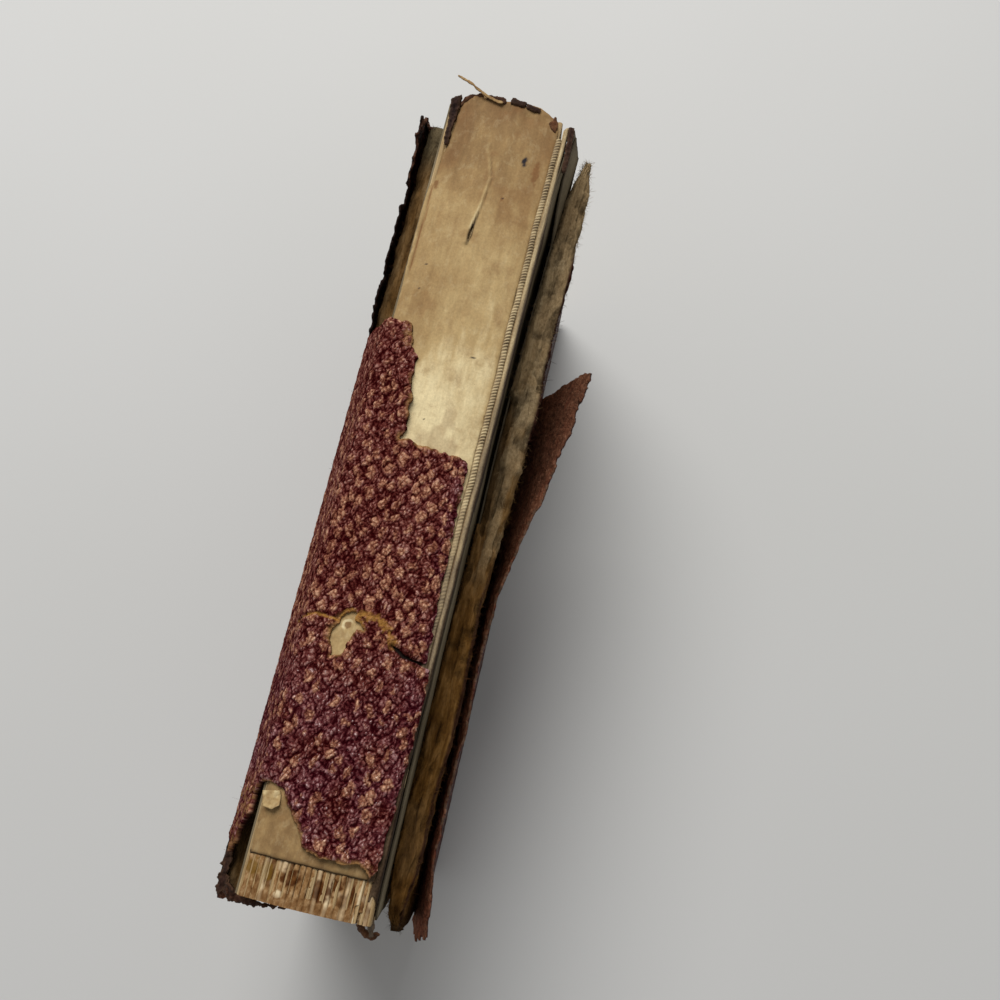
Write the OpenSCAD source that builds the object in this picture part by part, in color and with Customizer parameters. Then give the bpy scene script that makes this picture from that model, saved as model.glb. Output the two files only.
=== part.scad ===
// Antique hardback book with a torn leather spine, standing on its fore edge.
// X runs across the spine, with the front cover at +X. Y runs from tail to head, and Z is up.
// The origin is the middle of the leaves' fore edge, on the surface that the book stands on.

/* [Text block] */
// Height of the leaves from tail to head
block_len = 145; // [120:1:180]
// Thickness of the leaves across the spine
block_thick = 21.6; // [16:0.1:30]
// Thickness of the leaves at the fore edge
fore_thick = 18.4; // [14:0.1:21]
// Depth of the leaves from the shoulders to the fore edge
block_depth = 94; // [80:1:120]
// Rise of the rounded spine above its shoulders
spine_rise = 1.2; // [0.6:0.1:2.5]
// Number of folded sections sewn into the block
section_count = 22; // [14:1:30]
// Diameter of the sewing cords sunk into the folds
cord_d = 1.4; // [0.8:0.1:2.5]

/* [Spine] */
// Thickness of the paper lining
lining_thick = 0.4; // [0.2:0.05:0.8]
// Length of bare folds below the lining at the tail
lining_short = 6.5; // [3:0.5:12]
// Overhang of the lining past the leaves at the head
lining_over = 1; // [0.2:0.1:2]
// Thickness of the leather
leather_thick = 0.9; // [0.5:0.1:1.4]
// Thickness of the joint cloth and its corded edge
cloth_thick = 0.35; // [0.2:0.05:0.6]
// Width of the corded cloth edge on the spine
cloth_width = 1.4; // [0.8:0.1:2.5]
// Depth of the joint cloth down the side of the leaves
cloth_drop = 6; // [3:0.5:8]
// Thickness of the endpapers
paper_thick = 0.3; // [0.15:0.05:0.5]

/* [Covers] */
// Thickness of the boards
board_thick = 3; // [2:0.1:4]
// Overhang of the boards past the leaves at tail and head
board_square = 3; // [1.5:0.5:5]
// Depth of the boards' spine edges below the shoulders
board_drop = 10; // [8:0.5:16]
// Gap between the back board and the leaves' side
back_gap = 2.3; // [2:0.1:4]
// Bulge of the back joint's leather
joint_bulge = 0.3; // [0:0.1:1.5]
// Extra gap behind the warped front board at its head
front_warp = 2.8; // [0.5:0.1:5]
// Spread of the front board's split layers along its spine edge
front_spread = 2.8; // [0.5:0.1:3.5]
// Depth of the split along the front board's spine edge
split_depth = 4; // [1:0.5:10]
// Width of that split
split_width = 0.6; // [0.2:0.1:1]
// Radius of the boards' worn corners
corner_round = 5; // [2:0.5:8]
// Width of the leather turned in over the boards' edges
turn_in_width = 5; // [3:0.5:12]

/* [Peeled leather] */
// Height of the front leather that still lies on its board
peel_height = 49; // [30:1:60]
// Length of the front leather that stands off its board
peel_rise = 25; // [10:1:30]
// Stand-off of the peeled edge below the middle of the board
peel_lean = 1.1; // [0.5:0.1:5]
// Extra stand-off of the peeled edge at its torn end
peel_flare = 7.2; // [2:0.1:12]

/* [Hidden] */

// Clearance between layers that are glued together
seat_gap = 0.05;
// Clearance between the covers and the leaves' side
cover_clear = 0.25;
// Clearance between the front hinge line and the joint cloth
hinge_clear = 0.4;
// Clearance between the spine leather and the leather of the back joint
joint_gap = 0.3;
// Overhang of the spine leather past the back shoulder
joint_out = 0.6;
// Overrun of all cuts
overrun = 2;
// Facets of the spine's large arc
arc_fn = 360;

// Jaggedness of torn leather: the spacing and the depth of its nicks
tear_step = 1.1;
tear_depth = 0.28;
// Jaggedness of torn paper
paper_tear_step = 1.6;
paper_tear_depth = 0.1;
// Wear along the boards' spine edges
wear_step = 2.6;
front_wear = 0.4;
back_wear = 0.15;
// Thickness of the scraps left at the head, and of the torn strip of paper there
scrap_thick = 0.8;
sliver_thick = 0.35;
// Width and depth of the slits between loose folds at the tail
slit_width = 0.3;
slit_depth = 2.2;
// Overlap of pieces of one leather sheet where they are joined, and how much the joining tongue is set in
lap = 1;
lap_inset = 0.2;

// The spine's arc, and the layers on it
half_thick = block_thick / 2;
half_len = block_len / 2;
arc_r = (half_thick * half_thick + spine_rise * spine_rise) / (2 * spine_rise);
arc_z = block_depth + spine_rise - arc_r;
lining_r = arc_r + seat_gap;
leather_r = lining_r + lining_thick + seat_gap;
function arc_height(x, r) = arc_z + sqrt(r * r - x * x);

// The folded sections' round backs
fold_share = 0.56;
fold_r = fold_share * block_thick / section_count;
fold_pitch = (block_thick - 2 * fold_r) / (section_count - 1);
function fold_x(i) = -half_thick + fold_r + i * fold_pitch;
function side_x(z) = (fore_thick + (block_thick - fore_thick) * z / block_depth) / 2;

// Layers on the leaves' sides, measured out from the side
leaf_out = seat_gap + paper_thick;
cloth_in = leaf_out + seat_gap;
cloth_out = cloth_in + cloth_thick;

// The covers
board_half = half_len + board_square;
board_top = block_depth - board_drop;
hinge_room = cloth_out + hinge_clear + seat_gap + paper_thick;
turn_in_room = leaf_out + cover_clear + leather_thick;
front_room = max(hinge_room, turn_in_room);
half_wide = max(block_thick, fore_thick) / 2;
front_axis_z = block_depth;
function back_in(z) = side_x(z) + back_gap;
function back_out(z) = back_in(z) + board_thick;
back_axis_x = half_thick + joint_out;
back_axis_z = arc_height(back_axis_x, leather_r + leather_thick);

// The front board's faces: it leans with the leaves' side, its warp grows towards the head and the spine
// edge, and its layers spread along that edge
front_spread_shares = [
    [-1, 0], [-0.70, 0.07], [-0.48, 0.36], [-0.24, 0.14], [-0.14, 0.30], [0, 0.65], [0.12, 0.82], [0.26, 1],
    [0.36, 0.80], [0.66, 0.66], [0.83, 0.42], [1, 0.25]];
function bow(y) = pow(max(0, y / board_half), 2);
function spread_share(z) = pow(max(0, (min(z, board_top) - peel_height) / (board_top - peel_height)), 2);
function front_in(y, z) = side_x(z) + front_room + front_warp * bow(y) * pow(min(1, z / board_top), 2);
function front_out(y, z) = front_in(y, z) + board_thick
    + front_spread * lookup(y / board_half, front_spread_shares) * spread_share(z);

// Points along the front board's length, and the heights at which its faces are divided
plan_steps = 16;
rise_steps = 6;
rises = [for (j = [0 : rise_steps]) board_top * j / rise_steps];
function plan_ys(half) = [for (i = [0 : plan_steps]) -half + 2 * half * i / plan_steps];

// Torn outlines. Each pair is a share of the half thickness and of the half length of the leaves.
leather_outline_shares = [
    [-1.30, 0.365], [-0.62, 0.358], [-0.585, 0.300], [-0.42, 0.275], [-0.37, 0.210], [-0.30, 0.140],
    [-0.26, 0.085], [-0.33, 0.062], [-0.10, 0.060], [0.45, 0.050], [0.81, 0.040], [0.83, -0.020],
    [0.86, -0.140], [0.90, -0.280], [0.925, -0.400], [0.91, -0.428], [0.56, -0.420], [0.32, -0.410],
    [0.56, -0.427], [0.91, -0.440], [1.00, -0.452], [1.00, -0.550], [0.98, -0.690], [0.94, -0.830],
    [0.90, -0.890], [0.47, -0.884], [0.10, -0.886], [-0.23, -0.875], [-0.33, -0.840], [-0.50, -0.810],
    [-0.64, -0.790], [-0.75, -0.765], [-1.30, -0.768]];
leather_hole_shares = [
    [-0.66, -0.372], [-0.52, -0.362], [-0.38, -0.374], [-0.40, -0.402], [-0.49, -0.425], [-0.53, -0.461],
    [-0.62, -0.455], [-0.655, -0.400]];
lining_split_shares = [
    [-0.11, 0.870], [0.00, 0.825], [0.045, 0.785], [0.00, 0.715], [-0.065, 0.648], [-0.09, 0.590]];
lining_split_width_shares = [0, 0.006, 0.012, 0.012, 0.030, 0];
headcap_shares = [[[0.04, 1.002], [0.31, 1.000], [0.32, 1.021], [0.05, 1.023]],
    [[0.34, 0.999], [0.57, 0.996], [0.58, 1.016], [0.35, 1.020]],
    [[-0.36, 1.001], [-0.12, 1.003], [-0.13, 1.014], [-0.34, 1.013]]];
sliver_shares = [
    [-0.39, 1.012], [-0.50, 1.024], [-0.97, 1.060], [-0.99, 1.053], [-0.54, 1.010], [-0.42, 1.001]];
chip_shares = [[-0.99, -0.775], [-0.74, -0.772], [-0.75, -0.812], [-0.80, -0.820], [-0.95, -0.812]];
back_scrap_shares = [
    [-1.00, 1.005], [-0.90, 1.012], [-0.87, 0.960], [-0.89, 0.900], [-0.92, 0.870], [-0.97, 0.870],
    [-0.985, 0.930]];
slit_x_shares = [0.70, 0.80, 0.89];
slit_len_shares = [0.030, 0.055, 0.045];
// Places of the sewing cords, as shares of the half length of the leaves
cord_y_shares = [-0.72, -0.26, 0.26, 0.72];
// Place of the split in the front board, as a share of the board's thickness
split_share = 0.45;
function front_split(y, z) = front_in(y, z) + split_share * (front_out(y, z) - front_in(y, z));

// Torn edges of the cover leather. Each pair is a share of the board's half length and of its drop.
back_edge_shares = [
    [-1.1, -0.25], [-0.93, -0.10], [-0.885, 0.02], [-0.875, -0.05], [0.35, -0.05], [0.36, 0.10], [0.45, 0.05],
    [0.60, 0.14], [0.72, 0.08], [0.86, 0.18], [0.945, 0.26], [0.96, -0.05], [1.1, -0.45]];
// Torn end of the back joint's leather: shares of the joint's width and of the half length of the leaves
joint_outline_shares = [
    [-0.2, 0.366], [0.35, 0.360], [0.70, 0.368], [1.3, 0.358], [1.3, -0.925], [0.75, -0.905], [0.52, -0.885],
    [0.42, -0.855], [0.30, -0.825], [0.34, -0.795], [0.16, -0.775], [-0.2, -0.768]];
// Torn top of the front leather that lies on the board: shares of the board's half length and the peel height
front_edge_shares = [
    [-1.1, 1], [0.43, 1], [0.52, 0.94], [0.63, 0.99], [0.78, 0.90], [0.90, 0.96], [1.1, 0.85]];
// The peeled strip: where it ends at the head, how its edge wanders, and its flare along the board
peel_end_share = 0.43;
peel_wave_share = 0.03;
peel_flare_shares = [
    [-1, 0.35], [-0.85, 0.06], [-0.70, 0.02], [-0.20, 0.05], [-0.13, 0.29], [0.07, 0.58], [0.43, 1]];
peel_curve = 1.6;
peel_len_steps = 56;
peel_rise_steps = 7;
// Head end of the front hinge paper, as a share of the board's half length
hinge_paper_share = 0.26;
// Front shoulder scrap: shares of the half length of the leaves and of the cloth's drop
front_scrap_shares = [
    [0.865, -0.55], [0.93, -0.62], [0.99, -0.35], [0.997, -0.06], [0.94, -0.10], [0.88, -0.30]];

// Puts a list of share pairs at its real size
function sized(pairs, w, l) = [for (p = pairs) [p[0] * w, p[1] * l]];

// Breaks each side of an outline into nicks, seeded so that the tear is always the same
function torn(points, step, depth, seed) = [
    for (i = [0 : len(points) - 1])
        let (a = points[i],
            d = points[(i + 1) % len(points)] - a,
            n = max(1, round(norm(d) / step)),
            out = [d[1], -d[0]] / norm(d),
            nick = rands(-depth, depth, n, seed + i))
        for (k = [0 : n - 1]) a + d * k / n + out * (k == 0 ? 0 : nick[k])];

// A round corner of an outline, a quarter turn from one angle on
corner_steps = 6;
quarter_turn = 90;
function corner(x, y, r, from) = [for (k = [0 : corner_steps])
    let (a = from + quarter_turn * k / corner_steps) [x + r * cos(a), y + r * sin(a)]];

// Extrudes a cross-section drawn in X and Z along the book
module along(half) {
    rotate([90, 0, 0]) linear_extrude(2 * half, center = true) children();
}

// Extrudes an outline drawn in X and Y upwards through the whole spine
module plan_cut(points) {
    translate([0, 0, board_top - overrun])
        linear_extrude(board_drop + spine_rise + 2 * overrun + leather_thick + lining_thick) polygon(points);
}

// Extrudes an outline drawn in Y and Z across the book
module side_cut(points) {
    reach = front_out(board_half, board_top) + front_spread + peel_lean + peel_flare + overrun;
    translate([-reach, 0, 0]) rotate([90, 0, 90]) linear_extrude(2 * reach) polygon(points);
}

// A solid between two curved faces, each a list of columns of points that run from tail to head
module between_faces(near, far) {
    ny = len(near) - 1;
    nz = len(near[0]) - 1;
    row = nz + 1;
    skip = row * (ny + 1);
    inner = [for (i = [0 : ny - 1], j = [0 : nz - 1]) let (a = i * row + j)
        each [[a, a + row, a + 1], [a + 1, a + row, a + row + 1]]];
    outer = [for (i = [0 : ny - 1], j = [0 : nz - 1]) let (a = skip + i * row + j)
        each [[a, a + 1, a + row], [a + 1, a + row + 1, a + row]]];
    low = [for (i = [0 : ny - 1]) let (a = i * row)
        each [[a, skip + a, a + row], [a + row, skip + a, skip + a + row]]];
    high = [for (i = [0 : ny - 1]) let (a = i * row + nz)
        each [[a, a + row, skip + a], [a + row, skip + a + row, skip + a]]];
    first = [for (j = [0 : nz - 1]) each [[j, j + 1, skip + j], [j + 1, skip + j + 1, skip + j]]];
    last = [for (j = [0 : nz - 1]) let (a = ny * row + j)
        each [[a, skip + a, a + 1], [a + 1, skip + a, skip + a + 1]]];
    polyhedron([for (column = concat(near, far)) each column],
        concat(inner, outer, low, high, first, last));
}

// Cross-section of a layer on the rounded spine
module spine_layer(r, thick, x_from, x_to) {
    intersection() {
        translate([0, arc_z]) difference() {
            circle(r + thick, $fn = arc_fn);
            circle(r, $fn = arc_fn);
        }
        translate([x_from, board_top])
            square([x_to - x_from, board_drop + spine_rise + overrun + leather_thick]);
    }
}

// A scrap of the spine's covering with an outline given in shares
module spine_scrap(shares, r, thick, seed) {
    intersection() {
        along(half_len + board_square + overrun) spine_layer(r, thick, -half_thick, half_thick);
        plan_cut(torn(sized(shares, half_thick, half_len), tear_step, paper_tear_depth, seed));
    }
}

// The leaves as one solid, with the round backs of the folded sections along the spine
module text_block() {
    color("wheat") difference() {
        union() {
            along(half_len) polygon([[-fore_thick / 2, 0],
                [-side_x(block_depth - fold_r), block_depth - fold_r],
                for (i = [0 : section_count - 1]) [fold_x(i), arc_height(fold_x(i), arc_r) - fold_r],
                [side_x(block_depth - fold_r), block_depth - fold_r],
                [fore_thick / 2, 0]]);
            for (i = [0 : section_count - 1])
                along(half_len) translate([fold_x(i), arc_height(fold_x(i), arc_r) - fold_r])
                    circle(fold_r, $fn = 32);
        }
        for (i = [0 : len(slit_x_shares) - 1])
            translate([slit_x_shares[i] * half_thick, -half_len, block_depth])
                cube([slit_width, 2 * slit_len_shares[i] * block_len, 2 * slit_depth], center = true);
        for (s = cord_y_shares)
            translate([0, s * half_len, block_depth])
                cube([2 * block_thick, cord_d + 2 * seat_gap, 2 * (fold_r + cord_d + seat_gap)],
                    center = true);
    }
}

// The cords that the sections are sewn on, lying in kerfs across the folds
module sewing_cords() {
    color("burlywood") for (s = cord_y_shares)
        translate([0, s * half_len, block_depth - fold_r - cord_d / 2]) rotate([0, 90, 0])
            cylinder(block_thick - 2 * fold_r, d = cord_d, center = true, $fn = 32);
}

// The paper glued over the folds, with round head corners and a split near the head
module spine_lining() {
    left = -half_thick;
    right = half_thick - cloth_width - seat_gap;
    tail = -half_len + lining_short;
    head = half_len + lining_over;
    r = cloth_width;
    split = sized(lining_split_shares, half_thick, half_len);
    open = [for (s = lining_split_width_shares) [s * half_thick, 0]];
    ends = len(split) - 1;
    color("tan") difference() {
        intersection() {
            along(head + overrun) spine_layer(lining_r, lining_thick, left, right);
            plan_cut(torn(concat([[left - overrun, tail], [right + overrun, tail]],
                corner(right - r, head - r, r, 0), corner(left + r, head - r, r, 90)),
                paper_tear_step, paper_tear_depth, 11));
        }
        plan_cut([for (i = [0 : ends]) split[i] + open[i],
            for (i = [ends - 1 : -1 : 1]) split[i] - open[i]]);
    }
}

// The strip of woven cloth over the front shoulder, with its corded edge on the spine
module joint_cloth() {
    top = arc_height(half_thick, lining_r);
    low = block_depth - cloth_drop;
    edge = half_thick - cloth_thick;
    half = half_len - board_square;
    color("ivory") union() {
        along(half) spine_layer(lining_r, lining_thick, half_thick - cloth_width, half_thick);
        along(half) polygon([[edge, top + seat_gap], [edge, top + lining_thick],
            [half_thick + cloth_in, top + lining_thick], [half_thick + cloth_out, top - cloth_thick],
            [side_x(low) + cloth_out, low], [side_x(low) + cloth_in, low], [half_thick + cloth_in, top]]);
    }
}

// The leather left on the spine, with its torn outline, hole and crack
module spine_leather() {
    left = -back_axis_x + joint_gap;
    color("maroon") intersection() {
        along(half_len) spine_layer(leather_r, leather_thick, left, half_thick);
        difference() {
            plan_cut(torn(sized(leather_outline_shares, half_thick, half_len), tear_step, tear_depth, 21));
            plan_cut(torn(sized(leather_hole_shares, half_thick, half_len), tear_step, paper_tear_depth, 61));
        }
    }
}

// One free endpaper lying against the side of the leaves
module flyleaf(side) {
    top = block_depth - fold_r;
    color("lightgray") along(half_len - seat_gap) scale([side, 1])
        polygon([[side_x(0) + seat_gap, 0], [side_x(0) + leaf_out, 0], [side_x(top) + leaf_out, top],
            [side_x(top) + seat_gap, top]]);
}

module front_flyleaf() { flyleaf(1); }
module back_flyleaf() { flyleaf(-1); }

// Pieces of the leather that was turned in over the head of the spine
module headcap_remnant() {
    color("saddlebrown") for (i = [0 : len(headcap_shares) - 1])
        spine_scrap(headcap_shares[i], leather_r, scrap_thick, 71 + i);
}

// Leather left along the shoulders near the head
module shoulder_scraps() {
    inner = half_thick + cloth_out + seat_gap;
    color("saddlebrown") {
        spine_scrap(back_scrap_shares, leather_r, scrap_thick, 81);
        intersection() {
            translate([inner, -half_len, 0]) cube([hinge_clear / 2, block_len, block_depth + overrun]);
            side_cut(torn([for (p = front_scrap_shares) [p[0] * half_len, block_depth + p[1] * cloth_drop]],
                tear_step, paper_tear_depth, 91));
        }
    }
}

// A torn strip of the lining that sticks out at the head
module torn_sliver() {
    color("tan") spine_scrap(sliver_shares, leather_r, sliver_thick, 101);
}

// A chip of paler paper stuck to the lining near the tail
module lining_chip() {
    color("wheat") spine_scrap(chip_shares, leather_r, sliver_thick, 111);
}

// Outline of a board in Y and Z, with its four corners worn round
module board_cut(half, low, top, r) {
    side_cut(concat(corner(half - r, top - r, r, 0), corner(-half + r, top - r, r, 90),
        corner(-half + r, low + r, r, 180), corner(half - r, low + r, r, 270)));
}

// The warped front board without its corners, grown by a margin on every side
module front_slab(margin) {
    ys = plan_ys(board_half + margin);
    between_faces([for (y = ys) [for (z = rises) [front_in(y, z) - margin, y, z]]],
        [for (y = ys) [for (z = rises) [front_out(y, z) + margin, y, z]]]);
}

// The back board without its corners, grown by a margin on every side
module back_slab(margin) {
    along(board_half + margin) polygon([[-back_out(0) - margin, 0],
        [-back_out(board_top) - margin, board_top], [margin - back_in(board_top), board_top],
        [margin - back_in(0), 0]]);
}

// A board's worn spine edge, which keeps all that lies below it
module worn_cut(wear, seed) {
    reach = board_half + overrun;
    edge = board_top - wear;
    side_cut(torn([[-reach, edge], [reach, edge], [reach, -overrun], [-reach, -overrun]],
        wear_step, wear, seed));
}

// The front board, split along its spine edge into two layers
module front_board() {
    ys = plan_ys(board_half + overrun);
    zs = [board_top - split_depth, board_top + split_depth];
    color("peru") difference() {
        intersection() {
            front_slab(0);
            board_cut(board_half, leather_thick, board_top, corner_round);
            worn_cut(front_wear, 191);
        }
        between_faces([for (y = ys) [for (z = zs) [front_split(y, z), y, z]]],
            [for (y = ys) [for (z = zs) [front_split(y, z) + split_width, y, z]]]);
    }
}

module back_board() {
    color("sienna") intersection() {
        back_slab(0);
        board_cut(board_half, leather_thick, board_top, corner_round);
        worn_cut(back_wear, 201);
    }
}

// The part of a board's inner face that its leather leaves open, reaching out through the spine edge
module turn_in_window(side) {
    width = half_wide + (side > 0 ? front_room + front_warp : back_gap + board_thick);
    reach = board_half - turn_in_width;
    translate([side > 0 ? 0 : -width, -reach, turn_in_width]) cube([width, 2 * reach, block_depth]);
}

// The leather round a board: its outer face, its edges and the turned-in margins
module turned_leather(side) {
    difference() {
        intersection() {
            if (side > 0) front_slab(leather_thick); else back_slab(leather_thick);
            board_cut(board_half + leather_thick, 0, board_top + corner_round, corner_round + leather_thick);
        }
        intersection() {
            if (side > 0) front_slab(0); else back_slab(0);
            board_cut(board_half, leather_thick, board_top + corner_round, corner_round);
        }
        intersection() {
            turn_in_window(side);
            if (side > 0) front_inner(); else back_inner();
        }
    }
}

// Everything on the leaves' side of the front board's inner face
module front_inner() {
    ys = plan_ys(board_half);
    zs = concat(rises, [block_depth]);
    between_faces([for (y = ys) [for (z = zs) [0, y, z]]],
        [for (y = ys) [for (z = zs) [front_in(y, z), y, z]]]);
}

// Everything on the leaves' side of the middle of the back board
module back_inner() {
    half = board_thick / 2;
    along(board_half) polygon([[-back_in(0) - half, 0], [-back_in(block_depth) - half, block_depth],
        [0, block_depth], [0, 0]]);
}

// How far the peeled leather's edge stands off the board at a place along the book
function peel_off(y) = peel_lean + peel_flare * lookup(y / board_half, peel_flare_shares);

// The strip of front leather that has come away from its board and leans outwards
module peeled_strip() {
    tail = -board_half - leather_thick;
    head = peel_end_share * board_half;
    ny = peel_len_steps;
    nz = peel_rise_steps;
    nick = rands(-peel_wave_share, peel_wave_share, ny + 1, 121);
    rise = peel_rise + lap;
    function strip(out) = [for (i = [0 : ny])
        let (y = tail + (head - tail) * i / ny)
        [for (j = [0 : nz])
            let (t = j / nz, z = peel_height - lap + rise * t * (1 + (j == nz ? nick[i] : 0)))
            [front_out(y, z) + peel_off(y) * pow(t, peel_curve) + out, y, z]]];
    between_faces(strip(seat_gap), strip(leather_thick));
}

module front_leather() {
    edge = [for (p = front_edge_shares) [p[0] * board_half, p[1] * peel_height]];
    color("brown") {
        intersection() {
            turned_leather(1);
            side_cut(torn(concat(edge, [[edge[len(edge) - 1][0], -overrun], [edge[0][0], -overrun]]),
                tear_step, tear_depth, 131));
        }
        peeled_strip();
    }
}

// The leather of the back joint, from the spine's shoulder down to the board
module back_joint() {
    low = board_top - lap;
    start = [-back_axis_x, back_axis_z];
    end = [-back_out(board_top) - leather_thick, board_top];
    slope = (end - start) / norm(end - start);
    out = [slope[1], -slope[0]];
    bend = (start + end) / 2 + 2 * joint_bulge * out;
    steps = 8;
    path = [for (k = [0 : steps]) let (t = k / steps)
        pow(1 - t, 2) * start + 2 * t * (1 - t) * bend + t * t * end];
    polygon(concat(path,
        [[lap_inset - back_out(low) - leather_thick, low], [-back_out(low) - lap_inset, low]],
        [for (k = [steps : -1 : 0])
            path[k] - leather_thick * (k == steps ? [-1, 0] : k == 0 ? [0, 1] : out)]));
}

// The torn edge of the back leather that stands up past the board
module back_edge() {
    low = board_top - lap;
    high = board_top + board_drop / 2;
    along(board_half - turn_in_width) polygon([[lap_inset - back_out(low) - leather_thick, low],
        [-back_out(board_top) - leather_thick, board_top], [-back_out(high) - leather_thick, high],
        [-back_out(high), high], [-back_out(board_top), board_top], [-back_out(low) - lap_inset, low]]);
}

module back_leather() {
    joint_w = back_out(board_top) + leather_thick - back_axis_x;
    edge = [for (p = back_edge_shares) [p[0] * board_half, board_top + p[1] * board_drop]];
    color("darkred") {
        intersection() {
            union() {
                turned_leather(-1);
                back_edge();
            }
            side_cut(torn(concat(edge, [[edge[len(edge) - 1][0], -overrun], [edge[0][0], -overrun]]),
                tear_step, tear_depth, 141));
        }
        intersection() {
            along(half_len) back_joint();
            plan_cut(torn([for (p = joint_outline_shares) [-back_axis_x - p[0] * joint_w, p[1] * half_len]],
                tear_step, tear_depth, 161));
        }
    }
}

// The paper on a board's inner face, with its hinge reaching up to the shoulder at the front
module front_pastedown() {
    reach = board_half - turn_in_width - seat_gap;
    hinge = hinge_paper_share * board_half;
    low = turn_in_width + seat_gap;
    top = front_axis_z - hinge_clear;
    ys = plan_ys(board_half);
    zs = concat(rises, [block_depth]);
    color("gainsboro") intersection() {
        between_faces([for (y = ys) [for (z = zs) [front_in(y, z) - paper_thick, y, z]]],
            [for (y = ys) [for (z = zs) [front_in(y, z), y, z]]]);
        side_cut(torn([[-reach, low], [reach, low], [reach, board_top - corner_round],
            [hinge, board_top - seat_gap], [hinge, top], [-reach, top]],
            paper_tear_step, paper_tear_depth / 2, 181));
    }
}

module back_pastedown() {
    reach = board_half - turn_in_width - seat_gap;
    low = turn_in_width + seat_gap;
    top = board_top - seat_gap;
    color("gainsboro") intersection() {
        along(board_half) polygon([[-back_in(0), 0], [-back_in(top), top], [paper_thick - back_in(top), top],
            [paper_thick - back_in(0), 0]]);
        side_cut([[-reach, low], [reach, low], [reach, board_top], [-reach, board_top]]);
    }
}

text_block();
sewing_cords();
spine_lining();
joint_cloth();
spine_leather();
front_flyleaf();
back_flyleaf();
headcap_remnant();
shoulder_scraps();
torn_sliver();
lining_chip();
front_board();
front_leather();
front_pastedown();
back_board();
back_leather();
back_pastedown();
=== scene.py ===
import math

import bpy
import numpy as np
from mathutils import Matrix, Vector


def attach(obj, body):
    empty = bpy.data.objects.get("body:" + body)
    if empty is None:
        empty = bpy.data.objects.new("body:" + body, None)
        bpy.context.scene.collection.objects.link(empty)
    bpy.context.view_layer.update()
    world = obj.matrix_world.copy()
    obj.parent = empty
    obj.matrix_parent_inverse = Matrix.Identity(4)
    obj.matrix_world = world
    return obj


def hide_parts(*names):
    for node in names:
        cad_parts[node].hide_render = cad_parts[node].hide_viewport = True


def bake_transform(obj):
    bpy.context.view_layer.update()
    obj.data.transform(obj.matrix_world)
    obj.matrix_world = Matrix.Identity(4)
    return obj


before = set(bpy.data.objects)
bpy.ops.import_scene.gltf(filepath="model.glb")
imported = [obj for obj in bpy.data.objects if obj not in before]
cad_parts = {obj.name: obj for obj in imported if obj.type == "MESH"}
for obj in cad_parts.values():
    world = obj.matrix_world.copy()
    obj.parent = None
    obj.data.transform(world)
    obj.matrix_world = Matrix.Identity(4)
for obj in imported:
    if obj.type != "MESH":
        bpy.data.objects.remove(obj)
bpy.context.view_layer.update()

# Lengths are in millimetres, as in the part's source, and become metres when a mesh is made.
MM = 0.001

# The leaves and the layers on their rounded spine
HALF_THICK = 10.8
FORE_HALF = 9.2
SHOULDER_Z = 94.0
ARC_Z = 46.0
FOLD_R = 49.2
LINING_R = 49.65
LEATHER_R = 50.6
LEATHER_THICK = 0.9
LINING_THICK = 0.35
SECTIONS = 22
FOLD_PITCH = 0.976

# The boards
BOARD_HALF = 75.5
BOARD_TOP = 84.0
BOARD_LOW = 0.9
BOARD_THICK = 3.0
BOARD_CORNER = 5.0
FRONT_ROOM = 1.5
FRONT_WARP = 2.8
FRONT_SPREAD = 2.8
BACK_GAP = 2.3

# The peeled leather of the front cover
PEEL_HEIGHT = 49.0
PEEL_LOW = 48.0
PEEL_RISE = 26.0
PEEL_LEAN = 1.1
PEEL_FLARE = 7.2
PEEL_CURVE = 1.6

# Shares along the boards, as in the part's source
SPREAD_AT = [-1, -0.70, -0.48, -0.24, -0.14, 0, 0.12, 0.26, 0.36, 0.66, 0.83, 1]
SPREAD_SHARE = [0, 0.07, 0.36, 0.14, 0.30, 0.65, 0.82, 1, 0.80, 0.66, 0.42, 0.25]
FLARE_AT = [-1, -0.85, -0.70, -0.20, -0.13, 0.07, 0.43]
FLARE_SHARE = [0.35, 0.06, 0.02, 0.05, 0.29, 0.58, 1]

# The corded edge and the outer edge of the cloth strip beside it, from tail to head
ROPE_Y = [-66, -20, -3, 15, 35, 56, 68]
ROPE_X = [9.4, 9.8, 9.95, 10.3, 10.42, 10.8, 11.1]
STRIP_Y = [-70, -53, -37, -20, -2.5, 16, 36, 56, 72]
STRIP_X = [10.9, 10.8, 10.95, 11.1, 11.3, 11.5, 11.7, 12.0, 12.25]

# Keeps the random numbers to 32 bits
HASH_MASK = 0xFFFFFFFF

# Farther than any two places of the book
FAR = 1e6


def lattice(ix, iy, seed):
    """A random number from 0 to 1 for each whole-numbered place."""
    h = (ix.astype(np.int64) * 374761393 + iy.astype(np.int64) * 668265263 + seed * 974634293) & HASH_MASK
    h = ((h ^ (h >> 13)) * 1274126177) & HASH_MASK
    h = ((h ^ (h >> 15)) * 2246822519) & HASH_MASK
    return ((h ^ (h >> 16)) & 0xFFFFFF) / 0x1000000


def noise(x, y, seed):
    """Smooth noise from -1 to 1 that changes over a length of 1."""
    ix = np.floor(x)
    iy = np.floor(y)
    fx = x - ix
    fy = y - iy
    fx = fx * fx * (3 - 2 * fx)
    fy = fy * fy * (3 - 2 * fy)
    low = lattice(ix, iy, seed) * (1 - fx) + lattice(ix + 1, iy, seed) * fx
    high = lattice(ix, iy + 1, seed) * (1 - fx) + lattice(ix + 1, iy + 1, seed) * fx
    return 2 * (low * (1 - fy) + high * fy) - 1


def fractal(x, y, seed, octaves=4):
    """Noise with finer and weaker layers added."""
    total = 0
    share = 1
    for k in range(octaves):
        total = total + share * noise(x * 2 ** k, y * 2 ** k, seed + 17 * k)
        share = share / 2
    return total


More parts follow.
